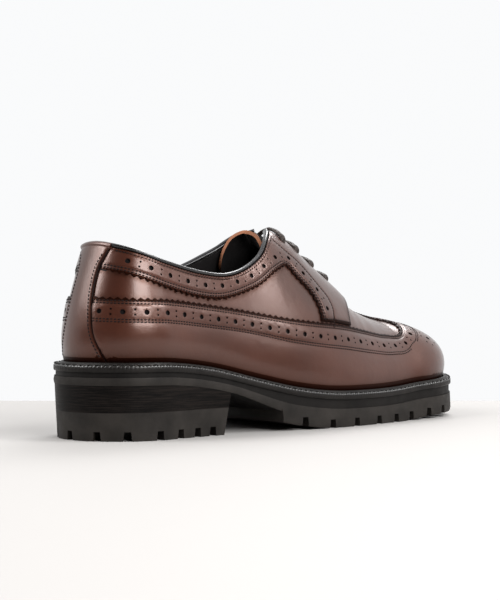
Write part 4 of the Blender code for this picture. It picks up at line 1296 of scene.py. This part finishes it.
def make_hole_shade_discs():
    """Near-black disc at the bottom of every punched hole: painted shade inside the hole."""
    points, faces = [], []
    count = HOLE_SHADE_DISC["sides"]
    for hole in np.concatenate(HOLES):
        ring = ring_of(hole, hole[2] + HOLE_SHADE_DISC["past"], count)
        base = len(points)
        for height in (HOLE_SHADE_DISC["low"], HOLE_SHADE_DISC["high"]):
            points.extend(raised(ring, np.full(count, height)))
        faces.append(tuple(base + k for k in reversed(range(count))))
        faces.append(tuple(base + count + k for k in range(count)))
        faces += ring_faces(base, base + count, count)
    piece("hole_backing", points, faces, ["hole"])


# Upper wall under the panels
UPPER_STEP = 1.6
UPPER_ROWS = 52
UPPER_WELD = 0.02
THROAT_CORNERS = 6
# Painted shadow on the upper beside the overlays' edges: share of the shade and how far it reaches
BESIDE = {"facing": (0.85, 1.5), "wing": (0.45, 1.1)}


def side_places(step):
    """Places along one side, with the corners of the lace gap among them."""
    corners = [at_x(THROAT_END[0] - THROAT_ROUND * k / THROAT_CORNERS) for k in range(THROAT_CORNERS + 1)]
    stretches = [dense(0, S_SIDE, step), dense(S_SIDE, S_TOE, step), dense(S_TOE, S_END, step)]
    return np.unique(np.concatenate(stretches + [corners]))


def loop_places(places):
    """The same places on both sides, once round the shoe."""
    return np.concatenate([places, 2 * S_END - places[-2:0:-1]])


def shade_beside(places):
    """Painted shadow on the upper beside the edges of facing and wing tip."""
    place, _ = fold(places[:, 0])
    spot = form(place, places[:, 1])
    shade = np.zeros(len(places))
    for name, (share, reach) in BESIDE.items():
        shade += share * np.exp(-(nearest(spot, tree_along(PINKED[name])) / reach) ** 2)
    return shade


def make_upper():
    """Vamp and quarters outside, lining inside."""
    s = loop_places(side_places(UPPER_STEP))
    top = top_edge(s)
    share = np.linspace(0, 1, UPPER_ROWS + 1)
    places = np.repeat(s[:, None], len(share), 1)
    heights = top[:, None] * share[None, :]
    outside = lifted(places, heights, np.full(places.shape, UPPER_LIFT))
    inside = lifted(places, heights, np.full(places.shape, -WALL))
    points = np.concatenate([outside.reshape(-1, 3), inside.reshape(-1, 3)])
    count, rows = len(s), len(share)
    within = count * rows
    outer, inner = [], []
    for i in range(count):
        j = (i + 1) % count
        for k in range(rows - 1):
            a, b, c, d = i * rows + k, j * rows + k, j * rows + k + 1, i * rows + k + 1
            outer.append((a, b, c, d))
            inner.append((a + within, d + within, c + within, b + within))
        inner.append((i * rows, i * rows + within, j * rows + within, j * rows))
        if not (top[i] == 1.0 and top[j] == 1.0):
            e, f = i * rows + rows - 1, j * rows + rows - 1
            inner.append((e, f, f + within, e + within))
    flat_places = np.stack([places.ravel(), heights.ravel()], 1)
    # Painted shade above the welt and painted shadow beside the overlays' edges darken the upper's outside
    outer_shade = np.clip(foot_shade(flat_places) + shade_beside(flat_places), 0, 1)
    shade = np.concatenate([outer_shade, np.zeros(within)])
    kinds = painted_shade_faces(outer, shade) + [UNDER] * len(inner)
    piece("upper_leather", points, outer + inner, ["upper", "painted_shade", "lining", "lining"],
          ["upper"], kinds, shade, SHARP["upper"], UPPER_WELD)


# Tongue, binding and laces
LACE_PLACES = (153.5, 165.7, 178.5, 191.5)
# Height of a lace above the form at each distance from the ridge
LACE_RISE = np.array([(0.0, 3.0), (7.0, 3.0), (10.0, 2.8), (11.4, 1.6), (12.0, 0.2), (12.2, -1.4)])
LACE = {"width": 4.6, "height": 2.1}
BINDING = {"width": 3.7, "height": 2.4, "inset": 0.2, "short": 1.0}
LIP = {"half": 17.5, "width": 5.4, "height": 4.4}
TONGUE = {
    "thick": 2.6, "clear": 1.2, "back": 137.0, "side": 139.0, "front": 206.0,
    "half": 24.0, "front_half": 15.0, "side_points": 7,
}
# Back edge of the tongue in plan, from the ridge to its side: x and distance from the ridge
TONGUE_END = {
    -1: [(136.6, 5.0), (136.2, 10.0), (136.2, 14.0), (136.6, 18.0), (137.4, 22.0)],
    1: [(135.4, 5.0), (132.4, 10.0), (129.6, 14.0), (127.6, 18.0), (128.4, 22.0)],
}
# It is bent to an arch: its rise at each distance from the ridge, outer side first, and along the ridge
TONGUE_ARCH = np.array([
    (-24.0, -1.0), (-18.0, 0.0), (-14.0, 0.9), (-11.0, 1.2), (-6.0, -0.3), (0.0, -1.9), (7.0, -0.2),
    (12.0, 1.0), (16.0, 0.2), (20.0, -0.6), (24.0, -1.0),
])
TONGUE_DIP = np.array([
    (136.0, 0.0), (139.0, -2.4), (143.0, -5.0), (150.0, -5.5), (158.0, -3.6), (172.0, 0.0),
])
ARCH_FADE = (140.0, 168.0)
# Points of a lace on each side, which crowd towards its end, and of the rolls along the collar
LACE_CORNERS = 14
LACE_POINTS = 26
LACE_CROWD = 0.7
BINDING_CORNERS = 16
BINDING_STEP = 1.5
BINDING_OVER = 0.1


def tongue_top(places):
    """Height of the tongue's outer face: under the upper's wall, an arch at its back end."""
    point = spots(places)
    arch = curve_through(TONGUE_ARCH, point[:, 1] - ridge_y(point[:, 0]))
    rise = arch * (1 - ease(point[:, 0], *ARCH_FADE)) + curve_through(TONGUE_DIP, point[:, 0])
    return -WALL - TONGUE["clear"] + rise


def tongue_foot(places):
    return tongue_top(places) - TONGUE["thick"]


def make_tongue():
    """Sheet under the facings with a raw leather rim at its back end."""
    x = np.linspace(TONGUE["side"], TONGUE["front"], TONGUE["side_points"])
    share = (x - TONGUE["side"]) / (TONGUE["front"] - TONGUE["side"])
    beside = list(zip(x, TONGUE["half"] + share * (TONGUE["front_half"] - TONGUE["half"])))
    outer = plan_line(TONGUE_END[-1] + beside)
    inner = plan_line(TONGUE_END[1] + beside, 1)
    ridge_back = np.array([(at_x(TONGUE["back"]), 1.0)])
    ridge_front = np.array([(at_x(TONGUE["front"]), 1.0)])
    outer_run = smooth_run(np.concatenate([ridge_back, outer]), EDGE_STEP)
    inner_run = smooth_run(np.concatenate([turned(ridge_back), inner]), EDGE_STEP)[::-1]
    front_run = evenly(np.concatenate([outer[-1:], ridge_front, inner[-1:]]), EDGE_STEP)
    runs = [(outer_run, False), (front_run, False), (inner_run, False)]
    panel("tongue_sheet", runs, NO_HOLES, ["upper", "painted_shade", "rim", "lining"], "tongue",
          tongue_foot, tongue_top, FINE_GRID)


def sweep(name, centres, sides, ups, width, height, corners, finish, nodes=()):
    """Closed tube of oval section along a path. sides and ups are the section's axes."""
    turn = 2 * math.pi * np.arange(corners) / corners
    rings = []
    for centre, side, up in zip(centres, sides, ups):
        across = np.outer(np.cos(turn), side) * width / 2
        rings.append(centre + across + np.outer(np.sin(turn), up) * height / 2)
    faces = [tuple(range(corners))[::-1]]
    for i in range(len(rings) - 1):
        faces += ring_faces(i * corners, (i + 1) * corners, corners)
    faces.append(tuple((len(rings) - 1) * corners + k for k in range(corners)))
    piece(name, np.concatenate(rings), faces, [finish], nodes, sharp=SHARP["tube"])


def collar_roll(name, half, width, height, finish, nodes=()):
    """Rolled strip over the collar's edge, from one place to its twin."""
    places = dense(-half, half, BINDING_STEP)
    heights = w_at_height(places, collar_height(np.abs(places), height / 2 - BINDING_OVER, -np.sign(places)))
    path = form(places, heights)
    out = normal(places, heights)
    up = np.cross(out, unit(np.gradient(path, axis=0)))
    sweep(name, path - out * BINDING["inset"], out, up, width, height, BINDING_CORNERS, finish, nodes)


def make_binding():
    """Rolled binding of the collar, and the leather lip over the backstay."""
    collar_roll("binding_roll", CORNER - BINDING["short"], BINDING["width"], BINDING["height"], "binding",
                ["topline_binding"])
    collar_roll("backstay_lip", LIP["half"], LIP["width"], LIP["height"], "upper")


def make_lace(index, x):
    """One bar of the lace, that dives into an eyelet on each side."""
    reach = LACE_RISE[:, 0]
    run = np.linspace(0, 1, LACE_POINTS) ** LACE_CROWD * reach[-1]
    outer = np.array([from_plan(x, r) for r in run[::-1]])
    height = curve_through(LACE_RISE, run[::-1])
    places = np.concatenate([outer, turned(outer)[::-1][1:]])
    level = np.concatenate([height, height[::-1][1:]])
    level = level + facing_top(places) - PANEL_TOP
    path = raised(places, level)
    ahead = unit(np.gradient(path, axis=0))
    side = np.array([1.0, 0.0, 0.0]) - ahead * ahead[:, :1]
    side = unit(side - ahead * (side * ahead).sum(1, keepdims=True))
    up = np.cross(side, ahead)
    sweep(f"lace_bar_{index}", path, side, up, LACE["width"], LACE["height"], LACE_CORNERS, "lace",
          [f"lace_{index}"])


# Sole layers: depth below the feather edge, over the heel and under the forefoot
WELT_DEPTH = 4.2
WELT_LEDGE = 5.0
# Section of the welt: offset from the feather edge and height beside it, up to the foot of its flange
WELT_BEAD = [
    (2.1, -0.4), (2.2, 0.1), (2.5, 0.6), (2.9, 0.9), (3.4, 1.0), (3.9, 0.8), (4.3, 0.4), (4.55, -0.1),
    (4.75, -0.45), (5.0, -0.6),
]
# Rows of the section that make the polished bevel of the flange, coloured lighter as a painted highlight
BEVEL_ROWS = (12, 14)
# Flange: distance in from its outer edge and height
WELT_FLANGE = [(1.2, -0.25), (0.5, -0.55), (0.0, -1.3), (0.0, -3.7), (0.3, -4.2)]
WHEELED_ROWS = 3
WELT_SEAM = {"inside": 0.75, "below": 0.15}
WHEEL = {"pitch": 1.95, "depth": 0.22, "bite": 0.16, "sharp": 3, "points": 6}
MIDSOLE_DEPTH = (6.8, 9.4)
MIDSOLE_STEP = 1.2
OUTSOLE_DEPTH = (11.5, 15.7)
WAIST = (88.0, 132.0)
TREAD_START = 123.0
TREAD_SLOPE = 0.4
EDGE_ROUND = 0.4
EDGE_RISE = 2.0
HEEL_RUBBER = 15.6
HEEL_TAPER = (2.2, 1.3, 0.6)
BREAST = (83.0, 85.5, 87.0)
INSOLE = 2.8
INSOLE_ROUND = 0.6
FORE_NOTCHES = (138.7, 159.4, 179.6, 200.0, 217.5, 233.4)
TOE_NOTCHES = (84.0, 66.0, 47.0, 28.0, 9.0)
HEEL_NOTCHES = (at_heel(0), at_heel(24), at_heel(48), at_heel(76), at_x(50), at_x(63), at_x(74.5))
NOTCH = {"width": 5.5, "top": 3.8, "height": 5.2, "depth": 9.0}
GROOVE = {"width": 6.0, "height": 4.5, "fore_half": 24.0, "heel_half": 20.0}
CUT_PAST = 3.0
# Faces that turn further down than this get the darker rubber of painted shade
SHADED_UNDERSIDE_TILT = -0.3
FORE_GROOVES = (150.0, 169.5, 190.0, 209.0, 226.0)
HEEL_GROOVES = (30.0, 56.0)
SOLE_STEP = 3.0


def heel_to_fore(x, depths):
    return depths[0] + (depths[1] - depths[0]) * ease(x, *WAIST)


def x_of(s):
    return form(s, 0.0)[..., 0]


def beyond_welt(amount):
    return lambda s: welt_width(s) + amount


def beside_feather(amount):
    return lambda s: np.full(np.shape(s), amount)


def below_feather(depth):
    return lambda s: feather(s) - depth


def below_by_part(depths, extra=0.0):
    return lambda s: feather(s) - heel_to_fore(x_of(s), depths) - extra


def at_height(height):
    return lambda s: np.full(np.shape(s), height)


def layer(name, node, levels, places, finish, sharp=SHARP["plain"]):
    """Plate through outlines from bottom to top. Each level gives offset and height for an array of s."""
    points, faces = [], []
    for offset, height, reach in levels:
        one_side = places * reach
        whole = places[-1] == S_END
        other = 2 * S_END - (one_side[-2:0:-1] if whole else one_side[:0:-1])
        s = np.concatenate([one_side, other])
        points.append(np.column_stack([sole_edge(s, offset(s)), height(s)]))
    count = len(points[0])
    half = len(one_side)
    outer = list(range(half))
    inner = [0] + [count - i for i in range(1, half)]
    for level in range(len(levels) - 1):
        low, high = level * count, (level + 1) * count
        faces += ring_faces(low, high, count)
    for base, flip in ((0, True), ((len(levels) - 1) * count, False)):
        for i in range(half - 1):
            ring = [outer[i], outer[i + 1], inner[i + 1], inner[i]]
            face = tuple(base + v for v in dict.fromkeys(ring))
            faces.append(face[::-1] if flip else face)
    return piece(name, np.concatenate(points), faces, [finish], [node], sharp=sharp)


def make_welt():
    """Ring under the upper's edge: a raised bead beside it and a wheeled flange outside."""
    s = np.arange(0, 2 * S_END, WHEEL["pitch"] / WHEEL["points"])
    width = welt_width(s)
    dent = np.maximum(0, np.cos(2 * math.pi * s / WHEEL["pitch"])) ** WHEEL["sharp"]
    full = np.ones(len(s))
    rows = [(-WELT_LEDGE * full, -WELT_DEPTH * full), (-WELT_LEDGE * full, -GAP * full)]
    rows += [(offset * full, height * full) for offset, height in WELT_BEAD]
    for k, (inside, height) in enumerate(WELT_FLANGE):
        wheel = dent if k < WHEELED_ROWS else 0 * dent
        rows.append((width - inside - WHEEL["bite"] * wheel, height - WHEEL["depth"] * wheel))
    rings = [np.column_stack([sole_edge(s, offset), feather(s) + height]) for offset, height in rows]
    count, faces, kinds = len(s), [], []
    for k in range(len(rings)):
        a, b = k * count, (k + 1) % len(rings) * count
        faces += ring_faces(a, b, count)
        kinds += [int(BEVEL_ROWS[0] <= k < BEVEL_ROWS[1])] * count
    piece("welt_ring", np.concatenate(rings), faces, ["welt", "bevel_and_highlight"], ["welt"], kinds,
          sharp=SHARP["welt"])
    middle = np.arange(0, 2 * S_END, WELT_STITCH["pitch"])
    seam_plan = sole_edge(middle, welt_width(middle) - WELT_SEAM["inside"])
    path = np.column_stack([seam_plan, feather(middle) - WELT_SEAM["below"]])
    points, faces = stitch_mesh([path], [np.tile([0.0, 0.0, 1.0], (len(path), 1))], WELT_STITCH)
    piece("welt_stitches", points, faces, ["welt_thread"])


def tread_height(s):
    """Underside of the sole: arched over the waist, flat on the floor at the ball, sprung at the toe."""
    x = x_of(s)
    waist = feather(s) - heel_to_fore(x, OUTSOLE_DEPTH)
    return np.where(x < TREAD_START, waist, np.maximum(0.0, feather(s) - FORE_HEIGHT))


def wedge(s, base, floor):
    """Corners of one tapered cutter that bites into the sole's edge from outside and below."""
    edge = sole_edge(np.array([s]), np.array([base]))[0]
    out = edge - sole_edge(np.array([s]), np.array([base - 1]))[0]
    tangent = np.array([-out[1], out[0]])
    points = []
    for z, width in ((floor - CUT_PAST, NOTCH["width"]), (floor + NOTCH["height"], NOTCH["top"])):
        for reach, side in ((-NOTCH["depth"], -1), (CUT_PAST, -1), (CUT_PAST, 1), (-NOTCH["depth"], 1)):
            points.append(np.append(edge + out * reach + tangent * side * width / 2, z))
    return points


BOX_FACES = [(3, 2, 1, 0), (4, 5, 6, 7), (0, 1, 5, 4), (1, 2, 6, 5), (2, 3, 7, 6), (3, 0, 4, 7)]


def groove(x, half):
    """Block across the flat underside of the sole."""
    y = float(ridge_y(x))
    corners = ((-1, -1), (1, -1), (1, 1), (-1, 1))
    plan = [(x + a * GROOVE["width"] / 2, y + b * half) for a, b in corners]
    return [np.array([px, py, z]) for z in (-CUT_PAST, GROOVE["height"]) for px, py in plan]


def cut_with(target, blocks):
    """Cuts eight-cornered blocks out of a piece and gives its downward faces a darker rubber as painted
    shade.
    """
    points, faces = [], []
    for block in blocks:
        faces += [tuple(len(points) + v for v in face) for face in BOX_FACES]
        points += list(block)
    mesh = bpy.data.meshes.new("cutter")
    mesh.from_pydata(((np.array(points) - ORIGIN) * MM).tolist(), [], faces)
    cutter = put("cutter", mesh)
    cut = target.modifiers.new("notches", "BOOLEAN")
    cut.operation = "DIFFERENCE"
    cut.solver = "EXACT"
    cut.object = cutter
    graph = bpy.context.evaluated_depsgraph_get()
    result = bpy.data.meshes.new_from_object(target.evaluated_get(graph))
    target.modifiers.clear()
    target.data = result
    bpy.data.objects.remove(cutter)
    result.shade_smooth()
    result.set_sharp_from_angle(angle=math.radians(SHARP["cut"]))
    # Painted shade: darker rubber on the downward faces
    result.materials.append(FINISH["shaded_underside"])
    for face in result.polygons:
        if face.normal.z < SHADED_UNDERSIDE_TILT:
            face.material_index = 1


def heel_places():
    return np.concatenate([dense(0, S_SIDE, SOLE_STEP), dense(S_SIDE, at_x(BREAST[2]), SOLE_STEP)[1:]])


def breast_share(x):
    """How far round the heel an outline reaches when its front is at x."""
    return at_x(x) / at_x(BREAST[2])


def make_sole():
    """Insole, midsole, outsole and heel."""
    places = side_places(SOLE_STEP)
    layer("insole_sock", "insole", [
        (beside_feather(-WELT_LEDGE - GAP), below_feather(WELT_DEPTH), 1),
        (beside_feather(-WELT_LEDGE - GAP), below_feather(0.0), 1),
        (beside_feather(-WALL - GAP), below_feather(0.0), 1),
        (beside_feather(-WALL - GAP), below_feather(-INSOLE + INSOLE_ROUND), 1),
        (beside_feather(-WALL - GAP - INSOLE_ROUND), below_feather(-INSOLE), 1),
    ], places, "lining")
    layer("midsole_strip", "midsole", [
        (beyond_welt(-MIDSOLE_STEP), below_by_part(MIDSOLE_DEPTH, GAP), 1),
        (beyond_welt(-MIDSOLE_STEP), below_feather(WELT_DEPTH), 1),
    ], places, "midsole")
    tread_face = at_x(TREAD_START) + np.array([-TREAD_SLOPE, TREAD_SLOPE])
    outsole = layer("outsole_lugs", "outsole", [
        (beyond_welt(-EDGE_ROUND), tread_height, 1),
        (beyond_welt(0.0), lambda s: tread_height(s) + EDGE_RISE, 1),
        (beyond_welt(-EDGE_ROUND), below_by_part(MIDSOLE_DEPTH, GAP), 1),
    ], np.union1d(places, tread_face), "rubber")
    notches = [at_x(x) for x in FORE_NOTCHES] + [at_toe(angle) for angle in TOE_NOTCHES]
    notches += [2 * S_END - s for s in notches]
    blocks = [wedge(s, welt_width(s), tread_height(np.array([s]))[0]) for s in notches]
    cut_with(outsole, blocks + [groove(x, GROOVE["fore_half"]) for x in FORE_GROOVES])
    make_heel()


def make_heel():
    """Stacked leather lifts on a rubber top piece with lugs."""
    layer("heel_lifts", "heel_stack", [
        (beyond_welt(-HEEL_TAPER[1]), at_height(HEEL_RUBBER), breast_share(BREAST[1])),
        (beyond_welt(-HEEL_TAPER[2]), below_by_part(OUTSOLE_DEPTH), breast_share(BREAST[2])),
    ], heel_places(), "stack", SHARP["stack"])
    rubber = layer("heel_lugs", "heel_top_piece", [
        (beyond_welt(-HEEL_TAPER[0]), at_height(0.0), breast_share(BREAST[0])),
        (beyond_welt(-HEEL_TAPER[1]), at_height(HEEL_RUBBER), breast_share(BREAST[1])),
    ], heel_places(), "rubber")
    places = list(HEEL_NOTCHES) + [2 * S_END - s for s in HEEL_NOTCHES[1:]]
    blocks = [wedge(s, welt_width(s) - HEEL_TAPER[0], 0.0) for s in places]
    cut_with(rubber, blocks + [groove(x, GROOVE["heel_half"]) for x in HEEL_GROOVES])


# Stage: camera, floor and lights
CAMERA = {"target": (152.0, 0.0, 76.1), "distance": 1.006, "azimuth": -44.0, "elevation": 0.6}
LENS = 98.2
SHIFT_X = -0.0277
FLOOR_BEHIND = 0.196
FLOOR_HALF = 3.0
FLOOR_COLOUR = (0.405, 0.390, 0.378)
FLOOR_ROUGHNESS = 0.7
BACKGROUND = (0.955, 0.962, 0.97)
STUDIO = {"behind": 0.85, "camera_side": 0.06, "start": -0.1, "end": 0.35}
# Softboxes: turn from the heel end towards the outer side, elevation, width, height, radiance
SOFTBOXES = [
    (120.0, 48.0, 0.52, 0.70, 12.5), (80.0, 26.0, 0.80, 0.50, 12.5), (116.0, 26.0, 0.70, 0.50, 3.2),
    (-30.0, 48.0, 0.52, 0.70, 7.2), (-30.0, 26.0, 0.70, 0.50, 3.5), (210.0, 48.0, 0.52, 0.70, 9.0),
    (-16.0, 28.0, 0.26, 0.45, 9.0),
]
LIGHT_REACH = 1.4
LIGHT_AIM = Vector((0, 0, 0.06))


def view_back():
    """Unit vector from the shoe to the camera."""
    turn, tilt = math.radians(CAMERA["azimuth"]), math.radians(CAMERA["elevation"])
    return Vector((math.sin(turn) * math.cos(tilt), -math.cos(turn) * math.cos(tilt), math.sin(tilt)))


def point_at(thing, target):
    thing.rotation_euler = (thing.location - target).to_track_quat("Z", "Y").to_euler()


def make_camera():
    data = bpy.data.cameras.new("camera")
    data.lens = LENS
    data.shift_x = SHIFT_X
    camera = put("camera", data)
    target = Vector((np.array(CAMERA["target"]) - ORIGIN) * MM)
    camera.location = target + view_back() * CAMERA["distance"]
    point_at(camera, target)
    bpy.context.scene.camera = camera
    return target


def make_floor(target):
    """Pale floor that ends a little behind the shoe."""
    back = view_back()
    toward = Vector((back.x, back.y, 0)).normalized()
    across = Vector((-toward.y, toward.x, 0))
    centre = Vector((target.x, target.y, 0))
    far, near = -FLOOR_BEHIND, FLOOR_HALF
    corners = [(far, -FLOOR_HALF), (near, -FLOOR_HALF), (near, FLOOR_HALF), (far, FLOOR_HALF)]
    points = [centre + toward * a + across * b for a, b in corners]
    mesh = bpy.data.meshes.new("floor")
    mesh.from_pydata([tuple(p) for p in points], [], [(0, 1, 2, 3)])
    finish = bpy.data.materials.new("floor")
    finish.use_nodes = True
    shader = finish.node_tree.nodes["Principled BSDF"]
    shader.inputs["Base Color"].default_value = (*FLOOR_COLOUR, 1.0)
    shader.inputs["Roughness"].default_value = FLOOR_ROUGHNESS
    mesh.materials.append(finish)
    floor = put("floor", mesh)


def make_lights():
    for number, (turn, rise, width, tall, radiance) in enumerate(SOFTBOXES, 1):
        data = bpy.data.lights.new(f"softbox_{number}", "AREA")
        data.shape = "RECTANGLE"
        data.size = width
        data.size_y = tall
        data.energy = radiance * math.pi * width * tall
        box = put(f"softbox_{number}", data)
        turn, rise = math.radians(turn), math.radians(rise)
        away = Vector((-math.cos(turn) * math.cos(rise), -math.sin(turn) * math.cos(rise), math.sin(rise)))
        box.location = LIGHT_AIM + LIGHT_REACH * away
        point_at(box, LIGHT_AIM)
        box.visible_camera = False


def make_world():
    """Plain pale background. As a light it is bright behind the shoe and dark on the camera's side."""
    world = bpy.data.worlds.new("studio")
    world.use_nodes = True
    tree = world.node_tree
    direction = add(tree, "ShaderNodeTexCoord").outputs["Generated"]
    back = view_back()
    facing = add(tree, "ShaderNodeVectorMath", operation="DOT_PRODUCT")
    tree.links.new(direction, facing.inputs[0])
    facing.inputs[1].default_value = (back.x, back.y, 0.0)
    light = add(tree, "ShaderNodeMapRange", {
        "Value": facing.outputs["Value"], "From Min": STUDIO["start"], "From Max": STUDIO["end"],
        "To Min": STUDIO["behind"], "To Max": STUDIO["camera_side"]}, interpolation_type="SMOOTHSTEP")
    seen = add(tree, "ShaderNodeLightPath").outputs["Is Camera Ray"]
    strength = add(tree, "ShaderNodeMix", {"Factor": seen, "B": 1.0}, data_type="FLOAT")
    tree.links.new(light.outputs["Result"], strength.inputs["A"])
    background = tree.nodes["Background"]
    background.inputs["Color"].default_value = (*BACKGROUND, 1.0)
    tree.links.new(strength.outputs["Result"], background.inputs["Strength"])
    bpy.context.scene.world = world


def main():
    make_longwing()
    make_facings()
    make_backstay()
    make_upper()
    make_stitches()
    make_hole_shade_discs()
    make_tongue()
    make_binding()
    for index, x in enumerate(LACE_PLACES, 1):
        make_lace(index, x)
    make_welt()
    make_sole()
    target = make_camera()
    make_floor(target)
    make_lights()
    make_world()
    bpy.context.scene.view_settings.view_transform = "Standard"


main()
